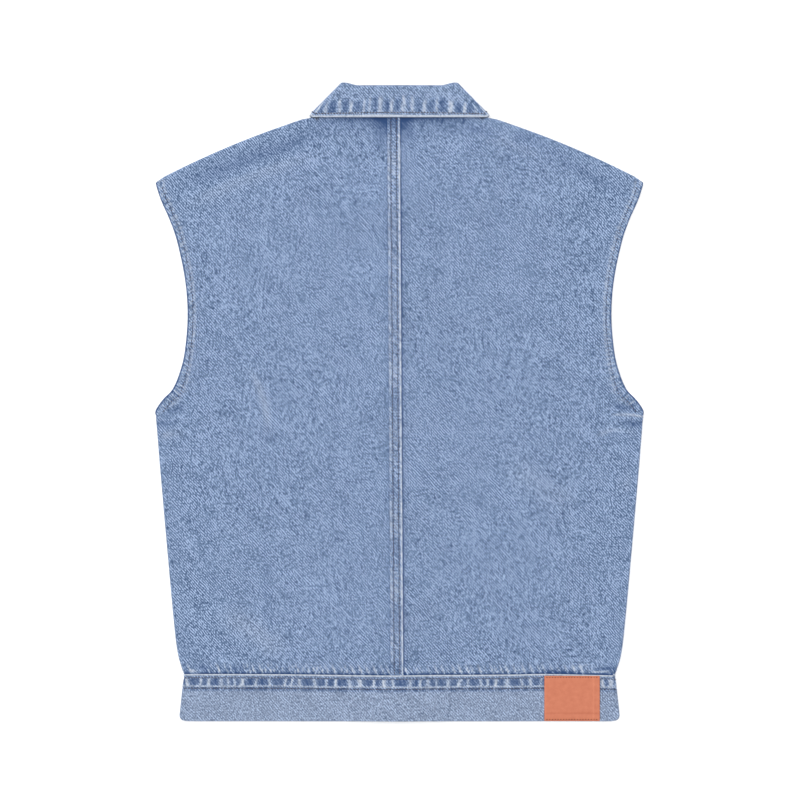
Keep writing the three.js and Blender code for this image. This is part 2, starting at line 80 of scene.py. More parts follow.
def linear(hex_colour):
    """An sRGB hex colour as linear red, green, blue and a full alpha."""
    part = np.array([int(hex_colour[k:k + 2], 16) for k in (1, 3, 5)]) / 255
    return (*np.where(part <= 0.04045, part / 12.92, ((part + 0.055) / 1.055) ** 2.4).tolist(), 1.0)


def new_material(name, values):
    """A material, its node tree and its main shader, whose inputs have the values given."""
    material = bpy.data.materials.new(name)
    material.use_nodes = True
    tree = material.node_tree
    shader = tree.nodes["Principled BSDF"]
    for key, value in values.items():
        shader.inputs[key].default_value = value
    return material, tree, shader


# The floor is a plain pale sheet of paper, a hair below the vest and not a part of it.
paper, _, _ = new_material("white_paper_backdrop", {"Base Color": linear("#ffffff"), "Roughness": 0.95})
floor_half = 6.0
floor_level = -0.2 * mm
floor_mesh = bpy.data.meshes.new("floor")
floor_mesh.from_pydata([(a * floor_half, b * floor_half, floor_level)
                        for a, b in ((-1, -1), (1, -1), (1, 1), (-1, 1))], [], [(0, 1, 2, 3)])
floor_mesh.materials.append(paper)
floor = bpy.data.objects.new("floor", floor_mesh)
scene.collection.objects.link(floor)

# Back panels: two pieces of 0.42 kg/m2 stone-washed denim, cut in one from the neck to the band. They
# wrap round the shoulder and side folds, and their armhole edges are turned in twice and stitched. Sizes
# are in millimetres until a mesh is made.
ply = 1.0
doubled = 1.8
gap = 0.3
neck_back = 301.5
band_top = -286.4
band_bottom = -335.3
tip_height = 228.1
underarm = -14.5
fold_radius = 2.3
fold_arc = np.pi * fold_radius
side_wrap = 4.0
shoulder_wrap = 14.0
shoulder_from = 96.8
shoulder_height = 297.3
shoulder_slope = 0.31
shoulder_bend = 0.00067
hem_width = 6.6
neck_half = 86.0
felled_from = -11.3
felled_to = 1.6
felled_proud = 0.7
button_top = 212.0
button_pitch = 104.6
button_heights = button_top - button_pitch * np.arange(6)

# The outline, from the photo: heights and half the vest's width there, down from the shoulder tip.
edge_heights = np.array([228.1, 211.3, 190.3, 169.3, 127.3, 90.5, 53.8, 32.8, 11.8, 1.3, -9.2, -14.5,
                         -30.2, -72.2, -156.2, -240.2, -267.5, -286.4, -292.7, -324.2, -335.3])
edge_halves = np.array([255.5, 250.1, 240.8, 233.4, 224.5, 221.8, 224.5, 229.1, 237.8, 247.7, 255.0, 255.8,
                        254.5, 251.1, 243.7, 235.9, 232.1, 226.4, 227.0, 230.4, 231.4])


def bell(distance, width):
    """1 on a line, falling as a bell on both sides of it."""
    return np.exp(-(distance / width) ** 2)


def mix(a, b, t):
    """a where t is 0 and b where it is 1."""
    return a + (b - a) * t


def ease(a, b, value):
    """0 at a and 1 at b, with level ends."""
    t = np.clip((np.asarray(value, float) - a) / (b - a), 0, 1)
    return t * t * (3 - 2 * t)


def through(places, values, at):
    """A smooth line through a table's points: in each span a cubic, whose slope at each point is that of
    the line between its neighbours."""
    at = np.asarray(at, float)
    low = np.concatenate([[0], np.arange(len(places) - 1)])
    high = np.concatenate([np.arange(1, len(places)), [len(places) - 1]])
    slope = (values[high] - values[low]) / (places[high] - places[low])
    i = np.clip(np.searchsorted(places, at, side="right") - 1, 0, len(places) - 2)
    span = places[i + 1] - places[i]
    t = np.clip((at - places[i]) / span, 0, 1)
    rise = (3 - 2 * t) * t * t
    bend = span * t * (1 - t) * (slope[i] * (1 - t) - slope[i + 1] * t)
    return values[i] * (1 - rise) + values[i + 1] * rise + bend


def edge_half(y):
    """The half width of the vest at a height."""
    return through(edge_heights[::-1], edge_halves[::-1], y)


def shoulder_top(x):
    """The shoulder fold's line: a falling curve, lower where the collar's corner passes round it."""
    s = x - shoulder_from
    return shoulder_height - shoulder_slope * s - shoulder_bend * s * np.abs(s) - 1.0 * ease(102, 94, x)


def over_leaf(x, y):
    """How high the front panels lie on the collar's front leaves. A leaf lies inside two lines: its front
    edge, which passes (3, 240), and its outer edge, which passes (64, 186)."""
    ax = np.abs(x)
    inside_front = (ax - 3) * 0.663 + (y - 240) * 0.749
    inside_edge = (64 - ax) * 0.964 + (y - 186) * 0.267
    return (doubled + gap) * ease(-28, -9, np.minimum(inside_front, inside_edge))


button_lift = 2.3


def near_button(x, y):
    """1 over each button, falling to 0 at 44 mm from it."""
    return sum(ease(44, 14, np.hypot(x, y - h)) for h in button_heights)


def front_floor(x, y):
    """The height of the front's outer face above the floor."""
    return np.maximum(over_leaf(x, y), button_lift * near_button(x, y))


def right_floor(x, y):
    """As front_floor, for the right front, which climbs on to the outer placket."""
    return front_floor(x, y) + (doubled + gap) * ease(46, 21, x)


neck_seam_half = 88.0
neck_seam_top = 300.0
neck_seam_drop = 68.0


def neck_curve(x):
    """The front neck seam: a quarter of an ellipse on each side."""
    share = np.minimum(1, np.abs(x) / neck_seam_half)
    return neck_seam_top - neck_seam_drop * np.sqrt(1 - share * share)


edge_rise = 2.0
wave_height = 0.35
air = 0.6
collar_lift = 4.7


def back_floor(x, y):
    """The height of the back's underside: on the fronts, the plackets and the collar, raised at the folds."""
    ax = np.abs(x)
    to_edge = np.minimum(edge_half(np.minimum(y, tip_height)) - ax, shoulder_top(ax) - y)
    rise = edge_rise * np.exp(-np.maximum(0, to_edge) / 16)
    start = np.where(x > 0, 0.4, 2.1)
    wave = wave_height * (1 + np.sin(ax / 41 + y / 97 + start) * np.sin(y / 58 - ax / 120))
    on_plackets = (2 * (doubled + gap) - ply - gap) * ease(66, 24, ax)
    opened = ply + air + 0.35 * over_leaf(x, y)
    opened = opened + np.maximum(np.maximum(rise, wave * ease(0, 40, to_edge)), on_plackets)
    seam = felled_proud * ease(26, 12, np.abs(x - (felled_from + felled_to) / 2))
    on_front = 1 - ease(2, 30, y - neck_curve(ax)) * ease(neck_half + 6, neck_half - 22, ax)
    neck = collar_lift * ease(186, 226, y) * ease(126, 96, ax)
    neck_right = (doubled + gap) * ease(60, 24, x) * ease(-2, 2, x) * ease(196, 226, y) * ease(290, 262, y)
    low = on_front * (front_floor(x, y) + opened + 0.9 * near_button(x, y)) + seam
    return np.maximum(low, neck + neck_right)


def fold(distance, radius):
    """A place past a fold line: flat before it, round a half circle, then flat and turned back. Gives the
    reach in plan from the line and how much of the upper level is left."""
    angle = np.clip(distance / radius, 0, np.pi)
    reach = radius * np.sin(angle) + np.minimum(distance, 0) - np.maximum(distance - np.pi * radius, 0)
    return reach, (1 + np.cos(angle)) / 2


def skin_normals(points, up):
    """Unit normals of a grid of points from its central differences, facing up (1) or down (-1) in its
    middle."""
    across = np.gradient(points, axis=1)
    along = np.gradient(points, axis=0)
    n = np.cross(across, along)
    n /= np.maximum(np.linalg.norm(n, axis=2, keepdims=True), 1e-12)
    middle = n[n.shape[0] // 2, n.shape[1] // 2, 2]
    return n * np.sign(middle) * up


def add_mesh(name, points, faces, material, **attributes):
    """A smooth mesh object from points in millimetres and faces of four corners, with its attributes."""
    mesh = bpy.data.meshes.new(name)
    mesh.vertices.add(len(points))
    mesh.vertices.foreach_set("co", (np.asarray(points, float) * mm).ravel())
    mesh.loops.add(faces.size)
    mesh.loops.foreach_set("vertex_index", faces.ravel().astype(np.int32))
    mesh.polygons.add(len(faces))
    mesh.polygons.foreach_set("loop_start", np.arange(0, faces.size, 4, dtype=np.int32))
    mesh.polygons.foreach_set("use_smooth", np.ones(len(faces), bool))
    for key, values in attributes.items():
        layer = mesh.attributes.new(key, "FLOAT", "POINT")
        layer.data.foreach_set("value", np.asarray(values, np.float32).ravel())
    mesh.update()
    mesh.validate()
    mesh.materials.append(material)
    made = bpy.data.objects.new(name, mesh)
    scene.collection.objects.link(made)
    return made


def fasten(piece, replaced=None):
    """Fixes a piece to the body, and hides the CAD node whose place it takes, when one is given."""
    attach(piece, "root")
    if replaced:
        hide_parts(replaced)


def cloth_shell(name, skin, up, thick, material, shade, double=False):
    """A closed shell of cloth. Its outer face is the skin's grid, its inner face lies thick below it along
    the normals, and a rounded rim of two rows of faces joins them. shade holds the outer face's wear and
    painted light, from -1 for dark hollows and painted shade to 1 for worn pale and painted highlight. The
    inner face of single cloth is marked as the reverse."""
    rows, columns = skin.shape[:2]
    normals = skin_normals(skin, up)
    thick = np.broadcast_to(thick, (rows, columns))[..., None]
    inner = skin - normals * thick
    grid = np.arange(rows * columns).reshape(rows, columns)
    quads = np.stack([grid[:-1, :-1], grid[:-1, 1:], grid[1:, 1:], grid[1:, :-1]], -1).reshape(-1, 4)
    ring = np.concatenate([grid[0, :-1], grid[:-1, -1], grid[-1, :0:-1], grid[:0:-1, 0]])
    outer_flat, inner_flat = skin.reshape(-1, 3), inner.reshape(-1, 3)
    step = np.roll(outer_flat[ring], -1, 0) - np.roll(outer_flat[ring], 1, 0)
    away = np.cross(step, normals.reshape(-1, 3)[ring])
    away /= np.maximum(np.linalg.norm(away, axis=1, keepdims=True), 1e-12)
    inward = outer_flat[grid[rows // 2, columns // 2]] - outer_flat[ring]
    away *= -np.sign((away * inward).sum(1).mean())
    middle = (outer_flat[ring] + inner_flat[ring]) / 2 + away * 0.28 * thick.reshape(-1, 1)[ring]
    count = rows * columns
    rim = np.arange(len(ring)) + 2 * count
    ring_next, rim_next = np.roll(ring, -1), np.roll(rim, -1)
    faces = np.concatenate([
        quads, quads[:, ::-1] + count,
        np.stack([ring_next, ring, rim, rim_next], -1),
        np.stack([rim_next, rim, ring + count, ring_next + count], -1)])
    points = np.concatenate([outer_flat, inner_flat, middle])
    corner = points[quads[len(quads) // 2]]
    facing = np.cross(corner[1] - corner[0], corner[2] - corner[0])
    if facing @ normals.reshape(-1, 3)[quads[len(quads) // 2, 0]] < 0:
        faces = faces[:, ::-1]
    shade = np.broadcast_to(shade, (rows, columns)).ravel()
    shade = np.concatenate([shade, shade * 0, shade[ring] + 0.25])
    reverse = np.concatenate([np.zeros(count), np.full(count, 0.0 if double else 1.0), np.zeros(len(ring))])
    return add_mesh(name, points, faces, material, shade=shade, reverse=reverse)


def on_side(y):
    """0 down the armhole and 1 down the side."""
    return ease(underarm + 2, underarm - 5, y)


def hem_stretch(y):
    """How much wider the armhole's hem is when it is measured level."""
    slope = (edge_half(y + 2) - edge_half(y - 2)) / 4
    return np.minimum(1.7, np.hypot(1, slope))


def panel_place(inner, top_shape, side_y, y, past, share):
    """Plan places of a panel's body rows. Rows fall from the shape of the top edge to level at the band."""
    t = (side_y - y) / (side_y - band_top - gap / 2)
    turned = np.minimum(np.pi / 2, (fold_arc + side_wrap) * on_side(y) / fold_radius)
    outer = edge_half(y) - fold_radius * np.sin(turned)
    x = np.concatenate([mix(inner, outer, share[None, :]), outer + past], 1)
    f = np.clip((x - inner) / (outer - inner), 0, 1)
    centre = mix(top_shape(0.0), band_top + gap / 2, t)
    shape = top_shape(f) - mix(top_shape(0.0), side_y, f)
    return x, mix(centre, y, f) + shape * (1 - t) ** 2


def side_heights(stops):
    """Heights of a panel's rows at its side. Each stop is a height and the number of rows from there to
    the next stop, and the last row lies at the band."""
    last = band_top + gap / 2
    ends = [y for y, _ in stops[1:]] + [last]
    rows = [np.linspace(y, end, count, endpoint=False) for (y, count), end in zip(stops, ends)]
    return np.concatenate([*rows, [last]])[:, None]


def seam_waves(along, pitch, jitter, seed):
    """An uneven row of puckers: for each place along a seam, the share of the nearest pucker, from -1 in
    its trough to 1 on its ridge, with the pitch and strength of each one drawn from a seeded generator."""
    draw = np.random.default_rng(seed)
    count = int(2400 / pitch)
    gaps = pitch * (1 + jitter * draw.uniform(-1, 1, count))
    marks = np.cumsum(gaps) - 1200
    strength = draw.uniform(0.55, 1.15, count)
    phase = np.interp(along, marks, np.arange(count))
    return np.cos(2 * np.pi * phase) * np.interp(along, marks, strength)


sag_places = np.array([-226, -130, -41, 30, 64, 116, 150, 205, 227.0])
sag_drops = np.array([0.0, 0.2, 1.2, 0.9, 1.0, 0.6, 0.0, 1.0, 1.5])


def hem_sag(x, y):
    """How far the seam between the body and the band hangs below a straight line, and the cloth with it,
    less and less up to 60 mm from it."""
    return through(sag_places, sag_drops, x) * ease(60, 0, np.abs(y - band_top))


def lines_of(x, y, rows, measure):
    """The sum of soft lines. Each row runs from (x0, y0) to (x1, y1), is a bell across its width, fades to
    nothing at its ends and is as strong as its measure: a height, or a tint from dark to pale that paints
    shade and highlight on the crease."""
    total = np.zeros(np.broadcast(x, y).shape)
    for values in rows:
        row = dict(zip(crease_columns, values))
        dx, dy = row["x1"] - row["x0"], row["y1"] - row["y0"]
        length = np.hypot(dx, dy)
        t = ((x - row["x0"]) * dx + (y - row["y0"]) * dy) / length ** 2
        bow = row["bow"] * 4 * t * (1 - t)
        off = ((y - row["y0"]) * dx - (x - row["x0"]) * dy) / length - bow
        ends = ease(-0.05, 0.3, t) * ease(1.05, 0.7, t)
        total = total + row[measure] * ends * bell(off, row["width"])
    return total


# Creases: where each one starts and ends, its width, its height, its tint and how far it bows. The tint
# is painted light: painted shade on a crease's dark side and a painted highlight on its pale side.
crease_columns = ("x0", "y0", "x1", "y1", "width", "height", "painted_light_and_wear_tint", "bow")
back_creases = [
    (-236, 222, -70, 284, 8, -0.6, -0.34, 3),
    (-232, 202, -80, 262, 8, 0.6, 0.08, 4),
    (76, 282, 158, 254, 6, 0.5, 0.05, 2),
    (66, 287, 104, 276, 2.6, -0.5, -0.36, 1),
    (118, 282, 158, 267, 6, -0.4, -0.24, 1),
    (236, 214, 150, 262, 7, -0.4, -0.2, -3),
    (263, -18.5, 222, -14.5, 1.1, 0.8, 0.6, -2.4),
    (250, -9, 222, -3, 3.6, -0.8, -0.55, 1),
    (259, -23, 232, -25, 3.4, -0.8, -0.6, 0),
    (248, -30, 205, -36, 2.5, 0.4, 0.2, -2),
    (236, -34, 214, -40, 4, -0.3, -0.2, -2),
    (-250, -16, -222, -4, 4, -0.6, -0.4, 1),
    (-256, -22, -236, -26, 3, -0.5, -0.45, 0),
    (-252, -36, -226, -34, 4, 0.35, 0.18, 0),
    (-158, 36, -138, -34, 4, 0.35, 0.16, 5),
    (-140, -128, -134, -250, 4, -0.3, -0.12, -3),
    (240, -66, 239, -97, 2, 0.2, 0.2, 0),
    (-190, -220, -120, -268, 12, 0.4, 0.1, 4),
    (110, -60, 190, -110, 14, 0.35, 0.06, -4),
    # These two are painted shadow under the collar, beside the seam.
    (-19, 316, -22, 262, 7, -0.2, -0.38, 1),
    (8, 316, 12, 266, 6, -0.2, -0.38, -1),
    (176, -279, 200, -275, 1.4, 0.3, 0.25, -1),
    (216, -276, 230, -284, 4, -0.3, -0.6, 0),
    (140, -283, 196, -284, 1.8, -0.3, -0.5, 0),
    (-216, -281, -196, -279, 3, -0.3, -0.4, 0),
    (-186, -282, -160, -280, 3, -0.3, -0.4, 0),
]


def node(tree, kind, links=None, out=0, **settings):
    """Adds one shader node with its settings, its constant inputs and its links in from other sockets.
    Gives one of its output sockets."""
    made = tree.nodes.new("ShaderNode" + kind)
    for name, value in settings.items():
        setattr(made, name, value)
    for key, value in (links or {}).items():
        if isinstance(value, bpy.types.NodeSocket):
            tree.links.new(value, made.inputs[key])
        else:
            made.inputs[key].default_value = value
    return made.outputs[out]


def washed_denim(name, mid_blue, grain):
    """Stone-washed light-blue cotton twill, 3/1 with indigo warp and white weft: diagonal ribs of mixed
    blue and pale threads with broken, hairy yarns. The shade attribute makes it pale on worn ridges and
    where a highlight is painted, and dark in seam hollows and where shade or a shadow is painted. It is
    matt, and its reverse is paler. The real twill ribs are 1.3 mm apart and too fine for the picture, so
    they are drawn 2.2 mm apart."""
    material, tree, shader = new_material(name, {"Roughness": 0.92, "Specular IOR Level": 0.2,
                                                 "Sheen Weight": 0.08, "Sheen Roughness": 0.6})
    place = node(tree, "TexCoord", out="Object")
    wobble = node(tree, "TexNoise", {"Vector": place, "Scale": 60, "Detail": 2})
    # The ribs: a slanting wave, stronger in some areas than in others and broken by the weft.
    rib_wave = (2130, 1990, 0)  # radians a metre: one rib every 2.2 mm, up to the left
    ribs = node(tree, "VectorMath", {0: place, 1: rib_wave}, out="Value", operation="DOT_PRODUCT")
    phase = node(tree, "Math", {0: wobble, 1: 9, 2: ribs}, operation="MULTIPLY_ADD")
    rib = node(tree, "Math", {0: phase}, operation="SINE")
    area = node(tree, "TexNoise", {"Vector": place, "Scale": 34, "Detail": 4, "Roughness": 0.85})
    area = node(tree, "MapRange", {"Value": area, 1: 0.33, 2: 0.67, 3: 0.45, 4: 1.5})
    stretched = node(tree, "Mapping", {"Vector": place, "Scale": (1, 0.6, 1)})
    yarn = node(tree, "TexNoise", {"Vector": stretched, "Scale": 800, "Detail": 0})
    flat_yarn = node(tree, "Mapping", {"Vector": place, "Scale": (0.6, 1, 1)})
    weft = node(tree, "TexNoise", {"Vector": flat_yarn, "Scale": 600, "Detail": 0})
    broken = node(tree, "MapRange", {"Value": weft, 1: 0.34, 2: 0.66, 3: 0.1, 4: 2.1})
    for strength in (area, broken):
        rib = node(tree, "Math", {0: rib, 1: strength}, operation="MULTIPLY")
    patchy = node(tree, "TexNoise", {"Vector": place, "Scale": 45, "Detail": 4, "Roughness": 0.62})
    shade = node(tree, "Attribute", out="Fac", attribute_name="shade")
    back = node(tree, "Attribute", out="Fac", attribute_name="reverse")
    # The tone: flecks of yarn and weft, wide patches and the ribs, each by its share, on three blues.
    tone = -0.5 * (grain["yarn"] + grain["weft"] + grain["patchy"]) + 0.5
    for source, share in ((yarn, "yarn"), (weft, "weft"), (patchy, "patchy"), (rib, "rib")):
        tone = node(tree, "Math", {0: source, 1: grain[share], 2: tone}, operation="MULTIPLY_ADD")
    ramp = node(tree, "ValToRGB", {"Fac": tone})
    stops = ramp.node.color_ramp.elements
    stops[0].position, stops[0].color = 0.0, linear("#344867")
    stops[1].position, stops[1].color = 1.0, linear("#98abcb")
    middle = stops.new(0.5)
    middle.color = linear(mid_blue)
    # The wear and painted light: pale threads on worn ridges and painted highlights, dark blue in hollows
    # and painted shade, and a paler reverse.
    thready = node(tree, "Math", {0: yarn, 1: 1.3, 2: 0.35}, operation="MULTIPLY_ADD")
    pale_wear_and_light = node(tree, "Math", {0: shade, 1: thready}, operation="MULTIPLY", use_clamp=True)
    dark_hollow_and_shade = node(tree, "Math", {0: shade, 1: -1.0}, operation="MULTIPLY", use_clamp=True)
    colour = ramp
    for share, painted_light_and_wear_tint in ((pale_wear_and_light, "#b2b9c4"), (dark_hollow_and_shade, "#263f68")):
        colour = node(tree, "Mix", {"Factor": share, 6: colour, 7: linear(painted_light_and_wear_tint)}, out=2, data_type="RGBA")
    pale = node(tree, "Mix", {"Factor": 0.6, 6: colour, 7: linear("#b4bac4")}, out=2, data_type="RGBA")
    colour = node(tree, "Mix", {"Factor": back, 6: colour, 7: pale}, out=2, data_type="RGBA")
    tree.links.new(colour, shader.inputs["Base Color"])
    height = node(tree, "Math", {0: rib, 1: 0.35, 2: yarn}, operation="MULTIPLY_ADD")
    bump = node(tree, "Bump", {"Height": height, "Strength": 0.35, "Distance": 0.35 * mm})
    tree.links.new(bump, shader.inputs["Normal"])
    return material


grain = {"yarn": 1.5, "weft": 0.54, "patchy": 0.38, "rib": 0.35}
denim = washed_denim("stone_washed_denim_twill", "#637794", grain)


def relief(skin, up, depth):
    """The skin moved out along its own normals by depth."""
    return skin + skin_normals(skin, up) * depth[..., None]


def back_skin(side):
    """One back panel's outer face as a grid: rows wrap over the shoulder fold and fall to the band, and
    columns run from the felled seam to the armhole's edge, or round the side fold. The columns are close
    beside the seam. Gives the points and how much each one is on the upper layer."""
    inner = felled_to + gap if side > 0 else -felled_from + gap
    outer_top = edge_half(tip_height)
    close_share = 0.012
    share = np.concatenate([np.linspace(0, close_share, 6, endpoint=False),
                            np.linspace(close_share, 0.9, 106)])
    hem_past = np.linspace(-12, 0, 26)
    side_past = np.linspace(-6, fold_arc + side_wrap, 26)
    wrap = fold_arc + shoulder_wrap
    down = np.concatenate([np.linspace(0, shoulder_wrap, 8, endpoint=False),
                           np.linspace(shoulder_wrap, wrap, 12, endpoint=False),
                           [wrap]])[:, None]

    def on_shoulder(x):
        return ease(neck_half - 3, neck_half + 5, x)

    def slope(x):
        return shoulder_slope + 2 * shoulder_bend * np.maximum(0, x - shoulder_from)

    def fold_line(x):
        neck_edge = neck_back - gap - 2.4 * ease(60, neck_half, x)
        top = mix(neck_edge, shoulder_top(x), ease(neck_half - 6, neck_half + 2, x))
        turn = fold_radius * np.sin(np.minimum(np.pi / 2, wrap * on_shoulder(x) / fold_radius))
        return top - turn * np.hypot(1, slope(x)) - wrap * (1 - on_shoulder(x))

    def top_shape(f):
        return fold_line(mix(inner, outer_top, f))

    x = np.concatenate([mix(inner, outer_top, share), outer_top + hem_past])[None, :]
    lean = np.hypot(1, slope(x))
    turned = on_shoulder(x)
    reach, upper_top = fold(wrap * turned - down, fold_radius)
    x_top = x + turned * slope(x) / lean * reach
    y_top = fold_line(x) + wrap * (1 - turned) + mix(1, 1 / lean, turned) * reach
    y = side_heights([(tip_height, 66), (64, 78), (underarm + 4, 10), (underarm - 8, 20), (-60, 37),
                      (band_top + 18, 15)])[1:]
    distance = mix(hem_past[None, :] * hem_stretch(y), side_past[None, :], on_side(y))
    past, upper_side = fold(distance, fold_radius)
    x_low, y_low = panel_place(inner, top_shape, tip_height, y, past, share)
    upper_low = np.concatenate([np.ones((len(y), len(share))), upper_side], 1)
    px = np.concatenate([x_top, x_low])
    py = np.concatenate([y_top, y_low])
    upper = np.concatenate([upper_top, upper_low])
    floor_of = right_floor if side > 0 else front_floor
    z = mix(floor_of(side * px, py), back_floor(side * px, py) + ply, upper)
    return np.stack([side * px, py, z], -1), upper


armhole_pitch = 4.4
tip_depth = 4.5
tip_rounding = 3.2
collar_edge = 298.1


def seam_lean(x, y):
    """How far the felled seam and the cloth beside it lie to the right: it leans by 3.6 mm down the back."""
    return (0.55 - 0.0062 * y) * ease(80, 15, np.abs(x))


def row_inset(y):
    """How far inside the armhole's edge its stitches run: deeper near the underarm."""
    return mix(5.3, 7.7, ease(50, 8, y))


def armhole_hem(x, y, in_armhole):
    """The armhole's turned hem: how far each point lies inside the edge and inside the stitches, and how
    much of it is on the doubled cloth and on the line that the stitches press in."""
    to_edge = (edge_half(y) - np.abs(x)) / hem_stretch(y)
    past_row = to_edge - row_inset(y)
    return to_edge, past_row, ease(2.1, 1.1, past_row) * in_armhole, bell(past_row, 0.7) * in_armhole


for side, name in ((-1, "back_left"), (1, "back_right")):
    skin, upper = back_skin(side)
    x, y = skin[..., 0].copy(), skin[..., 1].copy()
    ax = np.abs(x)
    in_armhole = ease(underarm - 2, underarm + 4, y) * ease(2.6, 3.4, shoulder_top(ax) - y + 3)
    to_edge, past_row, hem, stitch_line = armhole_hem(x, y, in_armhole)
    slant = (edge_half(y + 2) - edge_half(y - 2)) / 4
    along_edge = y - to_edge * slant / np.hypot(1, slant)
    puckers = seam_waves(along_edge, armhole_pitch, 0.45, 11 + side)
    gathers = seam_waves(along_edge, 3.5, 0.4, 17 + side) * hem * ease(34, 6, y)
    hem_puckers = puckers * ease(hem_width + 9, hem_width - 2, to_edge) * in_armhole
    skin[..., 0] += seam_lean(skin[..., 0], y) * upper
    skin[..., 1] -= hem_sag(x, y) * upper
    above_band = y - band_top
    band_puckers = ease(0, 0.95, seam_waves(x + 0.45 * above_band, 6.2, 0.45, 23 + side))
    near_band = ease(14, 3, above_band)
    seam_line = np.abs(x - np.where(side > 0, felled_to, felled_from))
    seam_puckers = seam_waves(y, 13, 0.4, 31 + side) * ease(13, 1, seam_line)
    in_tip = np.clip(1 - (shoulder_top(ax) - y) / tip_depth, 0, 1)
    skin[..., 0] -= side * tip_rounding * (1 - np.sqrt(1 - in_tip ** 2)) * ease(9, 0, to_edge)
    # The relief in millimetres, and below it the shade, from dark to pale: wear, with painted shade and
    # painted highlight on the creases and puckers, and painted shadows under the collar, beside the seam
    # and under the band's edge.
    depth = lines_of(x, y, back_creases, "height") * upper
    depth += (0.4 * hem - 0.3 * stitch_line + 0.12 * hem_puckers) * upper
    depth += 0.6 * band_puckers * near_band * ease(0, 5, above_band)
    depth += -0.3 * ease(4.5, 0.5, above_band) + 0.14 * seam_puckers
    edge_line = ease(1.6, 0.3, to_edge) * in_armhole
    shade = 0.24 * hem_puckers - 0.2 * stitch_line + 0.1 * hem - 0.85 * edge_line
    shade += 0.25 * bell(past_row - 2.3, 0.9) * in_armhole
    shade += (0.3 if side > 0 else 0.6) * gathers - 0.12 * hem * ease(40, 10, y)
    # Above the band: pale pucker ridges, darker cloth near the band, and a painted shadow line just above the
    # band, under its raised edge.
    shade += 1.2 * band_puckers * near_band - 0.32 * near_band
    shade += -0.95 * ease(3.4, 0.4, above_band) + 0.1 * seam_puckers
    # Painted shadow under the collar's edge: a wide soft one, and a darker narrow one right under the edge.
    painted_collar_shadow = ease(26, 1, collar_edge - y) * ease(115, 60, ax)
    shade += -0.34 * painted_collar_shadow - 0.55 * ease(8, 0, collar_edge - y) * ease(95, 20, ax)
    # Painted shadow beside the felled seam's raised edge, dark on the right panel and faint on the left.
    shade -= (1.0 if side > 0 else 0.3) * ease(2.2, 0.4, seam_line)
    # Darker beside the seam, and more so just under the collar, where it is painted shadow.
    beside_seam = ease(9, 1, seam_line)
    shade += -0.32 * beside_seam * ease(262, 296, y) - 0.1 * beside_seam
    # Painted shade and painted highlight along the creases.
    shade += lines_of(x, y, back_creases, "painted_light_and_wear_tint")
    skin = relief(skin, 1, depth * mix(1, ease(0, 2.5, to_edge), in_armhole))
    piece = cloth_shell(name + "_panel", skin, 1, ply + 0.8 * hem, denim, shade)
    fasten(piece, name)

# Centre back seam: a flat-felled seam, lapped to the left, pressed flat and sewn with two rows of
# topstitching. Washing has worn its folded edges pale and drawn small hollows along the rows. Its right
# edge also has a painted highlight, light and dark spots along it are painted light and shade on low
# bumps, and its top is painted shadow under the collar.


def dents(at, rows):
    """The lines that rows of stitches press into the cloth: 1 on each row, falling away from it."""
    return sum(bell(at - row, 0.8) for row in rows)


felled_thick = 2.4


def seam_level(x, y):
    """The height of the felled seam's face. Its underside is let in between the panels' edges."""
    return back_floor(x, y) - felled_proud + felled_thick


seam_rows_x = (-7.9, -2.1)
# Painted light on low bumps along the seam: a height and a strength, pale for a painted highlight and dark
# for painted shade.
seam_bump_light_and_shade = ((248, 0.22), (27, 0.22), (-41, 0.12), (-125, 0.22), (-198, 0.22),
              (1, -0.25), (-90, -0.25), (-159, -0.22), (-227, -0.25), (-280, -0.35), (290, -0.4))
x = np.linspace(felled_from, felled_to, 32)[None, :]
y = np.linspace(neck_back - gap / 2, band_top + gap / 2, 780)[:, None]
row_dents = dents(x, seam_rows_x)
left_ridge = bell(x - felled_from - 1.2, 1.2)
right_ridge = bell(x - felled_to + 1.0, 0.75)
between_rows = np.exp(-((x + 5) / 3.4) ** 4)
roping = seam_waves(y + 0.7 * x, 8.5, 0.4, 41)
depth = 0.16 * left_ridge + 0.2 * right_ridge - 0.42 * row_dents
depth = depth + 0.13 * roping * ease(-11, -8, x) * ease(1, -2, x)
bump_light_and_shade = sum(s * bell(y - h, 13) for h, s in seam_bump_light_and_shade)
ridge_paleness = 0.75 + 0.25 * seam_waves(y, 19, 0.5, 43)
# Pale ridges from wear, the right one also a painted highlight; darker stitch dents.
shade = (0.22 * left_ridge + 0.9 * right_ridge) * ridge_paleness - 0.4 * row_dents + 0.14 * roping + 0.07
shade = shade + 0.6 * bump_light_and_shade * (1 - right_ridge) + 0.16 * seam_waves(y, 3.2, 0.4, 47) * between_rows
# Painted shadow under the collar, at the seam's top.
shade = shade - 0.6 * ease(neck_back - 22, neck_back - 2, y)
skin = np.stack(np.broadcast_arrays(x + seam_lean(x, y), y - hem_sag(x, y), seam_level(x, y)), -1)
skin = relief(skin, 1, depth)
seam_piece = cloth_shell("felled_seam", skin, 1, felled_thick - 0.2, denim, shade, double=True)
fasten(seam_piece, "back_centre_seam")


def thread(name, hex_colour):
    """Spun polyester sewing thread, washed to a matt surface. Each stitch has its own slight shade."""
    material, tree, shader = new_material(name, {"Roughness": 0.7, "Specular IOR Level": 0.25})
    shade = node(tree, "Attribute", out="Fac", attribute_name="shade")
    ramp = node(tree, "ValToRGB", {"Fac": shade})
    base = np.array(linear(hex_colour))
    stops = ramp.node.color_ramp.elements
    stops[0].color = (*(base[:3] * 0.62).tolist(), 1)
    stops[1].color = (*np.minimum(1, base[:3] * 1.4).tolist(), 1)
    tree.links.new(ramp, shader.inputs["Base Color"])
    return material


faded_thread = thread("faded_sewing_thread", "#4b474f")


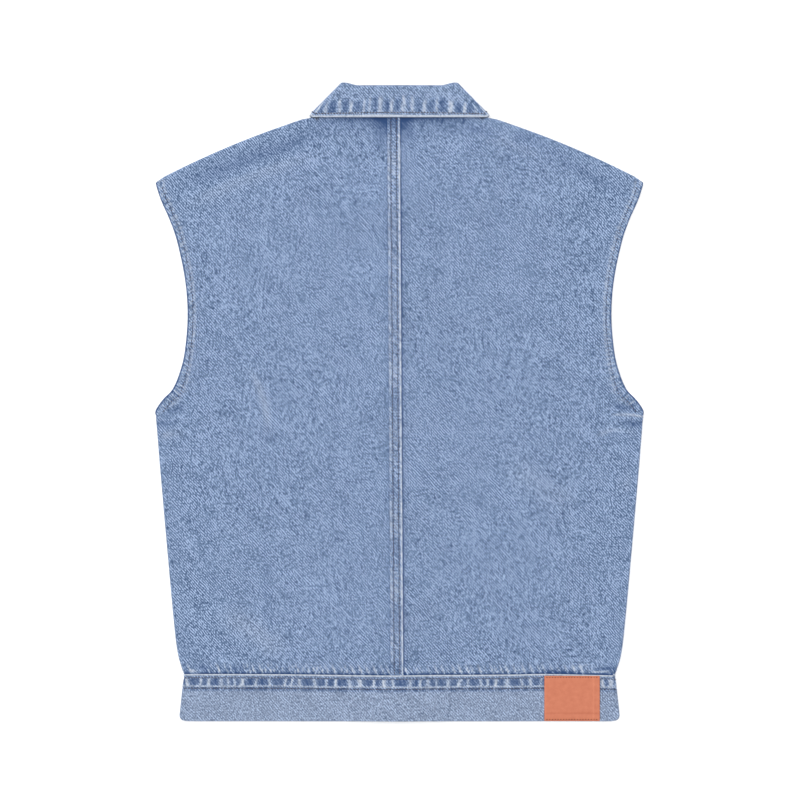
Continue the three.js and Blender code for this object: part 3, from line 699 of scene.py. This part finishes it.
def sew(name, paths, pitch, length, radius, material, up=1, seed=1):
    """Rows of topstitches as one mesh, fastened to the body. One stitch lies at each pitch along a path: a
    bar with six sides whose rings are thick in the middle and thin at the ends, and whose ends dip into the
    cloth along the curve of a parabola. Each is turned and shifted a little by a seeded draw."""
    draw = np.random.default_rng(seed)
    place, ahead = [], []
    for path in paths:
        path = np.asarray(path, float)
        along = np.concatenate([[0], np.cumsum(np.linalg.norm(np.diff(path, axis=0), axis=1))])
        at = np.arange(pitch / 2, along[-1], pitch)
        near = [np.stack([np.interp(at + off, along, path[:, k]) for k in range(3)], 1)
                for off in (-0.4, 0, 0.4)]
        place.append(near[1])
        ahead.append(near[2] - near[0])
    place, ahead = np.concatenate(place), np.concatenate(ahead)
    count = len(place)
    ahead /= np.linalg.norm(ahead, axis=1, keepdims=True)
    ahead[:, :2] += draw.normal(0, 0.06, (count, 1)) * np.stack([-ahead[:, 1], ahead[:, 0]], 1)
    side = np.cross([0, 0, up], ahead)
    side /= np.linalg.norm(side, axis=1, keepdims=True)
    out = np.cross(ahead, side)
    out *= np.sign(out[:, 2:3]) * up
    s = np.linspace(-1, 1, 5)
    angle = np.arange(6) * np.pi / 3
    girth = radius * (0.35 + 0.65 * np.sqrt(np.maximum(0, 1 - s ** 2)))
    reach = (length * draw.uniform(0.88, 1.08, count))[:, None, None] / 2 * s[None, :, None]
    dip = -1.1 * radius * s ** 2
    around = girth[:, None] * np.cos(angle)
    rise = girth[:, None] * 0.8 * np.sin(angle) + dip[:, None]
    shift = draw.normal(0, 0.07, (count, 1, 1))
    points = (place[:, None, None] + ahead[:, None, None] * reach[..., None]
              + side[:, None, None] * (around[None] + shift)[..., None]
              + out[:, None, None] * rise[None, ..., None])
    rings, sides = len(s), len(angle)
    grid = np.arange(rings * sides).reshape(rings, sides)
    turned = np.roll(grid, -1, 1)
    tube = np.stack([grid[:-1], turned[:-1], turned[1:], grid[1:]], -1).reshape(-1, 4)
    caps = np.array([[3, 2, 1, 0], [5, 4, 3, 0]])
    ends = np.concatenate([caps, caps[:, ::-1] + grid[-1, 0]])
    one = np.concatenate([tube, ends])
    corner = points[0].reshape(-1, 3)[one[0]]
    if np.cross(corner[1] - corner[0], corner[2] - corner[0]) @ (corner.mean(0) - place[0]) < 0:
        one = one[:, ::-1]
    faces = (one[None] + np.arange(count)[:, None, None] * rings * sides).reshape(-1, 4)
    shade = np.repeat(draw.uniform(0.15, 0.85, count), rings * sides)
    fasten(add_mesh(name, points.reshape(-1, 3), faces, material, shade=shade))


stitch_pitch = 3.17
seam_paths = []
for row in seam_rows_x:
    y = np.linspace(neck_back - 4, band_top + 2, 400)
    x = np.full_like(y, row) + 0.12 * np.sin(y / 19 + row)
    y = y - hem_sag(x, y)
    seam_paths.append(np.stack([x + seam_lean(x, y), y, seam_level(x, y)], -1))
sew("felled_seam_topstitching", seam_paths, stitch_pitch, 2.1, 0.52, faded_thread, seed=5)

# Armhole topstitching: one row along each turned hem, on the back panels here and on the fronts below.


def armhole_path(side, top, face):
    """The line of stitches inside the armhole's edge, from the shoulder to the underarm."""
    y = np.linspace(top, underarm + 3, 500)
    x = side * (edge_half(y) - row_inset(y) * hem_stretch(y))
    return np.stack([x, y, face(x, y)], -1)


def over_back(x, y):
    """The back's outer face with a hair of thread above it."""
    return back_floor(x, y) + ply + 0.4


armhole_paths = [armhole_path(side, tip_height - 3, over_back) for side in (-1, 1)]
sew("armhole_topstitching_back", armhole_paths, stitch_pitch, 2.2, 0.42, faded_thread, seed=6)

# Front panels: the same denim, cut with the neck curve and the placket line. The vest lies on them, so
# they are flat where they touch the floor. The back's folded edge is felled on to them.
front_creases = [
    (60, 150, 190, 60, 16, 0.25, 0, 6),
    (80, -90, 200, -170, 18, 0.2, 0, -6),
    (-60, 110, -180, 20, 16, 0.25, 0, -5),
    (-90, -120, -190, -210, 18, 0.2, 0, 5),
]
placket_outer = (-18, 18)
placket_under = (-16, 20)
neck_front = neck_seam_top - neck_seam_drop


def front_skin(side):
    """A front panel's outer face, which looks down: rows from the neck and shoulder seam to the band,
    columns from the placket to the armhole's edge or the side seam."""
    inner = (placket_under[1] if side > 0 else -placket_outer[0]) + gap
    side_top = tip_height - shoulder_wrap - gap
    outer_top = edge_half(side_top)

    def top_shape(f):
        x = mix(inner, outer_top, f)
        seam_slope = mix(shoulder_slope, 0.5, np.clip((x - neck_half) / 160, 0, 1))
        seam_line = shoulder_top(x) - (fold_radius + shoulder_wrap + gap) * np.hypot(1, seam_slope)
        return np.minimum(neck_curve(x) - gap / 2, seam_line)

    share = np.linspace(0, 0.9, 80)
    hem_past = np.linspace(-10, 0, 14)
    y = side_heights([(side_top, 70), (underarm + 4, 10), (underarm - 8, 69)])
    on = on_side(y)
    past = mix(hem_past * hem_stretch(y), -side_wrap - gap + hem_past * 0.8, on)
    x, place_y = panel_place(inner, top_shape, side_top, y, past, share)
    z = (right_floor if side > 0 else front_floor)(side * x, place_y)
    return np.stack([side * x, place_y, z], -1)


for side, name in ((-1, "front_left"), (1, "front_right")):
    skin = front_skin(side)
    x, y = skin[..., 0], skin[..., 1]
    in_armhole = ease(underarm - 2, underarm + 4, y)
    to_edge, past_row, hem, stitch_line = armhole_hem(x, y, in_armhole)
    puckers = seam_waves(y, armhole_pitch, 0.35, 51 + side) * ease(hem_width + 9, 4, to_edge) * in_armhole
    near_band = ease(17, 3, y - band_top)
    band_puckers = seam_waves(x, 11.5, 0.35, 53 + side)
    lift = 0.35 + 0.15 * puckers - 0.25 * stitch_line + lines_of(x, y, front_creases, "height")
    lift = np.maximum(0, lift + 0.18 * band_puckers * near_band) * ease(0, 5, y - band_top)
    shade = 0.25 * puckers - 0.45 * stitch_line + 0.2 * hem + 0.35 * band_puckers * near_band
    skin[..., 2] += lift
    piece = cloth_shell(name + "_panel", skin, -1, ply + 0.7 * hem, denim, shade)
    fasten(piece, name)


def under_front(x, y):
    """The front's outer face with a hair of thread below it."""
    return np.where(x > 0, right_floor(x, y), front_floor(x, y)) + 0.2


front_paths = [armhole_path(side, tip_height - 18, under_front) for side in (-1, 1)]
sew("armhole_topstitching_front", front_paths, stitch_pitch, 2.3, 0.3, faded_thread, up=-1, seed=8)

# Plackets: doubled strips down the centre front, one on the other, topstitched down both edges. The
# left one is the outer one and has the buttonholes.
row_from_edge = 4
for name, limits, level in (("placket_left", placket_outer, 0.0),
                            ("placket_right", placket_under, doubled + gap)):
    x = np.linspace(*limits, 24)[None, :]
    y = np.linspace(neck_front - gap / 2, band_top + gap / 2, 320)[:, None]
    face = front_floor(x, y) + level
    row_dents = dents(x, (limits[0] + row_from_edge, limits[1] - row_from_edge))
    roping = seam_waves(y + 0.6 * x, 8.5, 0.4, 61) * ease(8, 15, np.abs(x - np.mean(limits)))
    skin = np.stack(np.broadcast_arrays(x, y, face + 0.1 + 0.2 * row_dents - 0.08 * roping), -1)
    shade = 0.16 * roping - 0.3 * row_dents
    piece = cloth_shell(name + "_strip", skin, -1, doubled - 0.2, denim, shade, double=True)
    fasten(piece, name)

placket_paths = []
for row in (placket_outer[0] + row_from_edge, placket_outer[1] - row_from_edge):
    y = np.linspace(neck_front - 4, band_top + 2, 400)
    x = np.full_like(y, row)
    placket_paths.append(np.stack([x, y, front_floor(x, y) + 0.28], -1))
sew("placket_topstitching", placket_paths, stitch_pitch, 2.3, 0.3, faded_thread, up=-1, seed=9)

hole_half = 11.0
hole_stitch_pitch = 0.8
hole_paths = []
for h in button_heights[:5]:
    angle = np.linspace(0, 2 * np.pi, 120)
    x = hole_half * np.cos(angle)
    y = h + 1.5 * np.sin(angle)
    hole_paths.append(np.stack([x, y, front_floor(x, y) + 0.3], -1))
sew("buttonhole_stitches", hole_paths, hole_stitch_pitch, 1.7, 0.3, faded_thread, up=-1, seed=10)

# Hem band: one doubled strip that runs round the whole hem, from the outer lap at the centre front,
# round the left side, across the back and on to the under lap. Two rows of stitches hold its upper edge;
# the band is roped between them, pale on the ridges and dark in the hollows.
band_corner = 6.0


def band_skin(x, y):
    """The upper face of the band on the back."""
    inside = edge_half(y) - np.abs(x)
    return back_floor(x, y) + doubled + 0.1 * ease(0, 30, inside) - 0.8 * ease(26, 6, inside)


def ropes_at(along, marks, width):
    """The ridges of a roped seam: 1 on each mark, falling as a bell to -1 in the hollows between."""
    marks = np.asarray(marks, float)
    right = np.clip(np.searchsorted(marks, along), 1, len(marks) - 1)
    total = -1.0
    for mark in (marks[right - 1], marks[right]):
        own_width = width * (1 + 0.3 * np.sin(mark * 1.9))
        total = total + (1.85 + 0.3 * np.sin(mark * 2.7)) * bell(along - mark, own_width)
    return np.minimum(total, 1.1)


v = np.concatenate([np.linspace(0, 0.34, 30, endpoint=False), np.linspace(0.34, 0.95, 22, endpoint=False),
                    np.linspace(0.95, 1, 6)])
y = mix(band_top - gap / 2, band_bottom, v)[:, None]
corner = np.maximum(0, band_bottom + band_corner - y)
line = edge_half(y) - band_corner + np.sqrt(band_corner ** 2 - corner ** 2) - fold_radius
front_count = 90
across_count = 420
front_share = np.linspace(0, 1, front_count, endpoint=False)
turn_share = np.linspace(0, 1, 18, endpoint=False)
reach, upper = fold(fold_arc * turn_share, fold_radius)
left_front = mix(placket_outer[1], -line, front_share)
left_turn = -(line + reach[::-1])
across_back = mix(-line, line, np.linspace(0, 1, across_count))
right_turn = line + reach[1:]
right_front = mix(line - 0.4, placket_under[0], np.linspace(0, 1, front_count))
x = np.concatenate([left_front, left_turn, across_back, right_turn, right_front], 1)
y = np.broadcast_to(y, x.shape)
upper_share = np.concatenate([0 * front_share, upper[::-1], np.ones(across_count), upper[1:],
                              np.zeros(front_count)])[None, :]
side_line = np.concatenate([left_front, -line + 0 * left_turn, across_back, line + 0 * right_turn,
                            right_front], 1)
lap = np.arange(x.shape[1])[None, :] >= x.shape[1] - front_count
low = front_floor(x, y) * (upper_share == 0) + lap * (doubled + gap) * ease(46, 20, x)
z = mix(low, band_skin(side_line, y), upper_share)
skin = np.stack([x, y, z], -1)
on_back = upper_share == 1
down = band_top - y
skin[..., 1] -= hem_sag(x, y) * on_back
# The ridges across the back, as worn: their places from left to right. The rest of the band has its own.
ridges_back = np.array([-223, -209, -200, -187, -180, -173, -165, -150, -136, -120, -113, -105, -89, -77,
                        -67, -52, -43, -40, -27, -16, -7, 11, 22, 30, 39, 51, 63, 72, 85, 92, 101, 113, 128,
                        137, 148, 161, 174, 187, 200, 213, 222])
draw = np.random.default_rng(71)
ridges_front = np.cumsum(draw.uniform(7, 16, 60)) - 250
leaned = x + 0.07 * (down - 6) * np.sin(x / 31) + 0.5 * np.sin(down / 2.1 + x / 7)
ropes = np.where(on_back, ropes_at(leaned, ridges_back, 2.6), ropes_at(leaned, ridges_front, 2.6))
strength = 0.9 + 0.15 * np.sin(x / 9.1) * np.sin(x / 23 + 1)
fine_ropes = seam_waves(x - 0.3 * down, 5.5, 0.4, 73)
rows_y = (3.7, 14.6)
row_dents = dents(down, rows_y)
in_ropes = ease(3.4, 5.2, down) * ease(12.4, 10.6, down)
upper_ridge = ease(1.6, 0.7, down)
lower_ridge = bell(down - 12.2 - 0.5 * np.sin(x / 17), 1.15)
below = ease(13.0, 13.8, down) * ease(17.8, 15.6, down)
in_bars = ease(0.1, -0.8, ropes)
depth = 0.35 * upper_ridge + 0.2 * lower_ridge - 0.3 * row_dents
depth += (0.3 * ropes * strength + 0.08 * fine_ropes - 0.1) * in_ropes - 0.25 * below * in_bars
depth += 0.1 * seam_waves(x, 30, 0.5, 75) * ease(14, 20, down) * ease(48, 42, down)
depth = np.where(upper_share < 0.02, np.minimum(0, depth) - 0.1, depth)
# The band's upper folded edge is pale with wear and with a painted highlight, as it faces the light; the
# ropes are pale on the worn ridges and dark between them.
shade = 0.85 * upper_ridge + 0.52 * lower_ridge * (0.8 + 0.2 * fine_ropes) - 0.2 * row_dents
shade += (0.74 * ropes * strength + 0.16 * fine_ropes - 0.04) * in_ropes
shade += -0.55 * below * in_bars * strength + 0.14 * ease(16, 19, down)
skin = relief(skin, 1, depth)
band_grain = {"yarn": 1.2, "weft": 0.45, "patchy": 0.34, "rib": 0.2}
band_denim = washed_denim("stone_washed_denim_cross_cut", "#65758f", band_grain)
band = cloth_shell("hem_band_strip", skin, 1, doubled - 0.25, band_denim, shade, double=True)
fasten(band, "hem_band")

band_back, band_front = [], []
for row in rows_y:
    drop = band_top - row
    x = np.linspace(-226, 226, 500)
    y = drop - hem_sag(x, drop)
    band_back.append(np.stack([x, y, band_skin(x, y) + 0.14], -1))
    x = np.linspace(-222, 16, 260)
    y = np.full_like(x, drop)
    band_front.append(np.stack([x, y, front_floor(x, y) + 0.2], -1))
    x = np.linspace(20, 222, 260)
    y = np.full_like(x, drop)
    band_front.append(np.stack([x, y, right_floor(x, y) + 0.2], -1))
band_stitch_pitch = 3.47
sew("hem_band_topstitching_back", band_back, band_stitch_pitch, 2.4, 0.42, faded_thread, seed=12)
sew("hem_band_topstitching_front", band_front, band_stitch_pitch, 2.4, 0.3, faded_thread, up=-1, seed=13)

# Collar: one doubled leaf of the same denim. It stands up from the neck seam, rolls over and falls to its
# edge, and it bends round the two side folds on to the fronts. One row of stitches holds its edge, and
# the cloth is roped along it.
collar_front = {"neck": np.array([(84, 297), (78.6, 272.2), (60, 252.6), (33, 238.4), (3, 232.5)]),
                "roll": np.array([(60.5, 330.5), (53, 306), (39, 280), (20, 256), (3, 240)]),
                "edge": np.array([(91.5, 297), (88, 268), (81, 240), (73, 212), (64, 186)])}
collar_back = {"neck": (84, neck_back), "roll": (60.5, 332.4), "edge": (91.5, collar_edge)}
stand_back, stand_front, fall_back, fall_front = 5.2, 3.0, 7.4, 0.9


def centripetal(points, t):
    """A smooth curve through points: each span is a cubic whose end slopes come from its neighbours,
    weighed by the square roots of the spans' lengths. Ends are continued straight on."""
    points = np.vstack([2 * points[0] - points[1], points, 2 * points[-1] - points[-2]])
    spans = np.sqrt(np.linalg.norm(np.diff(points, axis=0), axis=1))
    at = np.clip(t * (len(points) - 3), 0, len(points) - 3 - 1e-9)
    i = at.astype(int)
    w = (at - i)[:, None]
    p0, p1, p2, p3 = (points[i + k] for k in range(4))
    s0, s1, s2 = (spans[i + k][:, None] for k in range(3))
    m1 = ((p1 - p0) / s0 - (p2 - p0) / (s0 + s1) + (p2 - p1) / s1) * s1
    m2 = ((p2 - p1) / s1 - (p3 - p1) / (s1 + s2) + (p3 - p2) / s2) * s1
    w2, w3 = w * w, w * w * w
    return (2 * w3 - 3 * w2 + 1) * p1 + (w3 - 2 * w2 + w) * m1 + (3 * w2 - 2 * w3) * p2 + (w3 - w2) * m2


back_share = np.linspace(0, 0.97, 92)
turn_share = np.linspace(0, 1, 26)
front_share = np.linspace(0, 1, 60)[1:]


def collar_line(layer, which):
    """One of the collar's lines, in plan with its height, from the centre back to the centre front. The
    right half is given; the left one mirrors it."""
    top, bottom, radius = ((stand_back, stand_front, 1.2) if layer == "stand"
                           else (fall_back, fall_front, 3.3))
    start = collar_back[which]
    end = collar_front[which][0]
    x = start[0] * back_share
    dip = 2.9 * (1 - ease(0.72, 0.97, back_share)) if which == "roll" else 0
    drop = 3.5 * ease(66, neck_half, x) - gap / 2 if which == "neck" else 0
    back = np.stack([x, start[1] - dip - drop + 0 * x, top + 0 * x], 1)
    reach, upper = fold(np.pi * radius * turn_share, radius)
    out_x, out_y = (0.48, 0.12) if which == "roll" else (0.732, 0.681)
    reach = np.maximum(0, reach)
    turn = np.stack([mix(start[0], end[0], turn_share) + out_x * reach,
                     mix(back[-1, 1], end[1], turn_share) + out_y * reach,
                     mix(bottom, top, upper)], 1)
    front = centripetal(collar_front[which].astype(float), front_share)
    return np.concatenate([back, turn, np.column_stack([front, np.full(len(front), bottom)])])


lines = {}
for layer, which in (("stand", "neck"), ("stand", "roll"), ("fall", "roll"), ("fall", "edge")):
    right = collar_line(layer, which)
    left = right * (-1, 1, 1)
    if layer == "stand":
        climb = (doubled + gap) * ease(46, 20, right[:, 0])
        on_front = np.arange(len(right)) >= len(back_share) + len(turn_share)
        right[:, 2] += climb * on_front
    lines[layer + which] = np.concatenate([left[:0:-1], right])[None]
t = np.linspace(0, 1, 16)[:, None, None]
stand = mix(lines["standneck"], lines["standroll"], t)
t = np.linspace(0, 1, 44)[:, None, None]
fall = mix(lines["fallroll"], lines["falledge"], t)
low, high = stand[-1], fall[0]
away = low - stand[0]
away[:, 2] = 0
away /= np.linalg.norm(away, axis=1, keepdims=True)
half_gap = np.linalg.norm(high - low, axis=1, keepdims=True) / 2
angle = np.linspace(0, np.pi, 15)[1:-1, None, None]
roll = mix(low, high, (1 - np.cos(angle)) / 2) + away * half_gap * np.sin(angle)
middle_skin = np.concatenate([stand, roll, fall])
outer_skin = middle_skin + skin_normals(middle_skin, 1) * (doubled / 2)
run = np.concatenate([[0], np.cumsum(np.linalg.norm(np.diff(fall[-1], axis=0), axis=1))])
run = run - run[-1] / 2
run = np.broadcast_to(run[None, :], outer_skin.shape[:2])
down_share = np.clip((np.arange(len(middle_skin)) - len(stand) - len(roll)) / (len(fall) - 1), 0, 1)
fall_rows = np.arange(len(middle_skin)) >= len(stand) + len(roll)
length = np.linalg.norm(fall[-1] - fall[0], axis=1)[None, :]
from_edge = (1 - down_share)[:, None] * length
from_edge = np.where(fall_rows[:, None], from_edge, length + 5)
collar_inset = 4.6
edge_ridge = ease(2.5, 1.5, from_edge + 0.3 * np.sin(run / 15))
row_dent = bell(from_edge - collar_inset, 0.8)
# The ridges across the back from left to right, as worn. The front leaves have their own.
ridges = np.array([-90, -77.7, -63, -51, -37.3, -31, -20, -8, 4, 13.3, 26.1, 38.9, 53.6, 68.3, 81, 92])
draw = np.random.default_rng(81)
more = 100 + np.cumsum(draw.uniform(9, 15, 12))
ridges = np.concatenate([-more[::-1], ridges, more])
straight = run + (outer_skin[..., 0] - fall[-1, :, 0]) * ease(98, 84, np.abs(run))
ropes = ropes_at(straight - 0.06 * (from_edge - 10), ridges, 3.2)
in_ropes = ease(5.0, 6.4, from_edge) * ease(23, 17, from_edge - 2.5 * np.sin(run / 7))
fine_ropes = seam_waves(run + 0.3 * from_edge, 5.5, 0.4, 83)
strength = 0.8 + 0.2 * np.sin(run / 11 + 2)
depth = 0.3 * edge_ridge - 0.36 * row_dent + (0.34 * ropes * strength + 0.08 * fine_ropes - 0.1) * in_ropes
depth += 0.12 * np.sin(run / 21 + 1) * ease(6, 14, from_edge) * fall_rows[:, None]
shade = 0.05 + 0.8 * edge_ridge * (0.9 + 0.1 * fine_ropes) + 0.1 * row_dent
shade += (0.7 * ropes * strength + 0.2 * fine_ropes - 0.02) * in_ropes
turn_columns = len(back_share) + np.arange(len(turn_share))
middle_column = outer_skin.shape[1] // 2
at_turn = np.zeros(outer_skin.shape[1])
at_turn[middle_column + turn_columns] = 1
at_turn[middle_column - turn_columns] = 1
depth = np.clip(depth, -0.6, 0.6) * (1 - 0.85 * at_turn)
outer_skin = relief(outer_skin, 1, depth)
outer_skin[..., 2] = np.maximum(outer_skin[..., 2], 0.02)
collar = cloth_shell("collar_leaf", outer_skin, 1, doubled - 0.2, denim, shade, double=True)
fasten(collar, "collar")

inset = mix(fall[-1], fall[0], np.clip(collar_inset / length[0], 0, 1)[:, None])
row_line = inset + skin_normals(middle_skin, 1)[-6] * (doubled / 2 + 0.3)
first, last = middle_column - turn_columns[-8], middle_column + turn_columns[-8]
collar_pitch = 3.15
sew("collar_topstitching_back", [row_line[first:last + 1]], collar_pitch, 2.2, 0.64, faded_thread, seed=14)
row_line[:, 2] = 0.22
first, last = middle_column - turn_columns[-1], middle_column + turn_columns[-1]
sew("collar_topstitching_front", [row_line[4:first], row_line[last + 1:-4]], collar_pitch, 2.15, 0.3,
    faded_thread, up=-1, seed=16)

# Leather patch: one piece of tan vegetable-tanned leather, 1.4 mm thick, sewn on the band by its upper
# and lower edges and flush with the band's lower edge. Its face is left plain.
patch_from, patch_to, patch_top, patch_thick = 152.0, 210.0, -288.2, 1.4


def tan_leather(name):
    """Smooth tan leather with a faint grain: small rounded pebbles, softly mottled, satin."""
    material, tree, shader = new_material(name, {"Roughness": 0.55, "Specular IOR Level": 0.35})
    place = node(tree, "TexCoord", out="Object")
    cells = node(tree, "TexVoronoi", {"Vector": place, "Scale": 1100})
    mottle = node(tree, "TexNoise", {"Vector": place, "Scale": 170, "Detail": 5, "Roughness": 0.65})
    shade = node(tree, "Attribute", out="Fac", attribute_name="shade")
    tone = node(tree, "Math", {0: mottle, 1: 0.45, 2: 0.275}, operation="MULTIPLY_ADD")
    tone = node(tree, "Math", {0: shade, 1: 0.4, 2: tone}, operation="MULTIPLY_ADD")
    ramp = node(tree, "ValToRGB", {"Fac": tone})
    stops = ramp.node.color_ramp.elements
    stops[0].position, stops[0].color = 0.2, linear("#9f5338")
    stops[1].position, stops[1].color = 0.85, linear("#c5795b")
    tree.links.new(ramp, shader.inputs["Base Color"])
    bump = node(tree, "Bump", {"Height": cells, "Strength": 0.25, "Distance": 0.15 * mm})
    tree.links.new(bump, shader.inputs["Normal"])
    return material


leather = tan_leather("tan_leather")
x = np.linspace(patch_from, patch_to, 70)[None, :]
y = np.linspace(patch_top, band_bottom, 58)[:, None]
base = band_skin(x, y) + gap
shape = np.stack(np.broadcast_arrays(x, y, base + patch_thick), -1)
inside_x = np.minimum(x - patch_from, patch_to - x)
inside_y = np.minimum(patch_top - y, y - band_bottom)
rounding = 0.5 * ease(1.6, 0, inside_x) + 0.5 * ease(1.6, 0, inside_y)
patch_rows = (patch_top - 1.3, band_bottom + 1.5)
pressed = dents(y, patch_rows) + 0 * x
crease = bell(x - 203.5, 0.9) + 0 * y
low_line = bell(y + 327.4, 0.9) + 0 * x
shape[..., 2] -= rounding + 0.3 * pressed + 0.18 * low_line - 0.12 * crease
shade = 0.35 * crease - 0.35 * low_line - 0.2 * pressed + 0.3 * ease(3, 0, inside_x)
patch = cloth_shell("leather_patch", shape, 1, patch_thick - 0.4, leather, shade, double=True)
fasten(patch, "label_patch")

brown_thread = thread("brown_waxed_thread", "#3d2118")
patch_paths = []
for row in patch_rows:
    x = np.linspace(patch_from + 1.2, patch_to - 1.2, 80)
    y = np.full_like(x, row)
    patch_paths.append(np.stack([x, y, band_skin(x, y) + gap + patch_thick - 0.34], -1))
sew("patch_stitches", patch_paths, 2.9, 1.9, 0.52, brown_thread, seed=15)

# Tack buttons: a hollow pressed cap, a post through both plackets and a small plate behind. They're
# underneath, so only their real form is given. Aged copper-coloured metal, mottled darker and lighter.


def aged_metal(name):
    """Dark antique metal with a soft satin shine, mottled darker and lighter."""
    material, tree, shader = new_material(name, {"Roughness": 0.38, "Metallic": 1.0})
    place = node(tree, "TexCoord", out="Object")
    mottle = node(tree, "TexNoise", {"Vector": place, "Scale": 420, "Detail": 4})
    ramp = node(tree, "ValToRGB", {"Fac": mottle})
    stops = ramp.node.color_ramp.elements
    stops[0].color = linear("#5d554f")
    stops[1].color = linear("#a3988d")
    tree.links.new(ramp, shader.inputs["Base Color"])
    return material


metal = aged_metal("aged_button_metal")
cap_height = 2.0
# The turned profile, as radius and height, from the middle of the cap's face to the back of the plate.
plate = cap_height + 2 * doubled + 3 * gap
profile = np.array([
    (0.02, 0.5), (3.2, 0.5), (4.3, 0.42), (4.9, 0.12), (5.6, 0.0), (6.4, 0.05), (7.3, 0.25), (8.0, 0.6),
    (8.4, 1.05), (8.45, 1.45), (8.2, 1.85), (7.6, 2.0), (5.2, 2.02), (2.9, 2.0), (2.55, 2.15),
    (2.5, 3.0), (2.5, plate - 0.3), (2.7, plate - 0.05), (4.6, plate), (4.95, plate + 0.2),
    (4.7, plate + 0.45), (3.6, plate + 0.5), (0.02, plate + 0.5)])
sides = 64
angle = np.arange(sides) * 2 * np.pi / sides
for k, h in enumerate(button_heights):
    ring = np.stack([profile[:, :1] * np.cos(angle), h + profile[:, :1] * np.sin(angle),
                     profile[:, 1:] + 0 * angle], -1)
    grid = np.arange(len(profile) * sides).reshape(len(profile), sides)
    turned = np.roll(grid, -1, 1)
    faces = np.stack([grid[:-1], grid[1:], turned[1:], turned[:-1]], -1).reshape(-1, 4)
    across = np.arange(1, sides // 2)
    first, last = grid[0], grid[-1]
    cap_low = np.stack([first[across - 1], first[across], first[sides - across - 1],
                        first[(sides - across) % sides]], -1)
    cap_high = np.stack([last[across], last[across - 1], last[(sides - across) % sides],
                         last[sides - across - 1]], -1)
    faces = np.concatenate([faces, cap_low, cap_high])
    tack = add_mesh(f"tack_button_{k + 1}", ring.reshape(-1, 3), faces, metal)
    fasten(tack, f"button_{k + 1}")
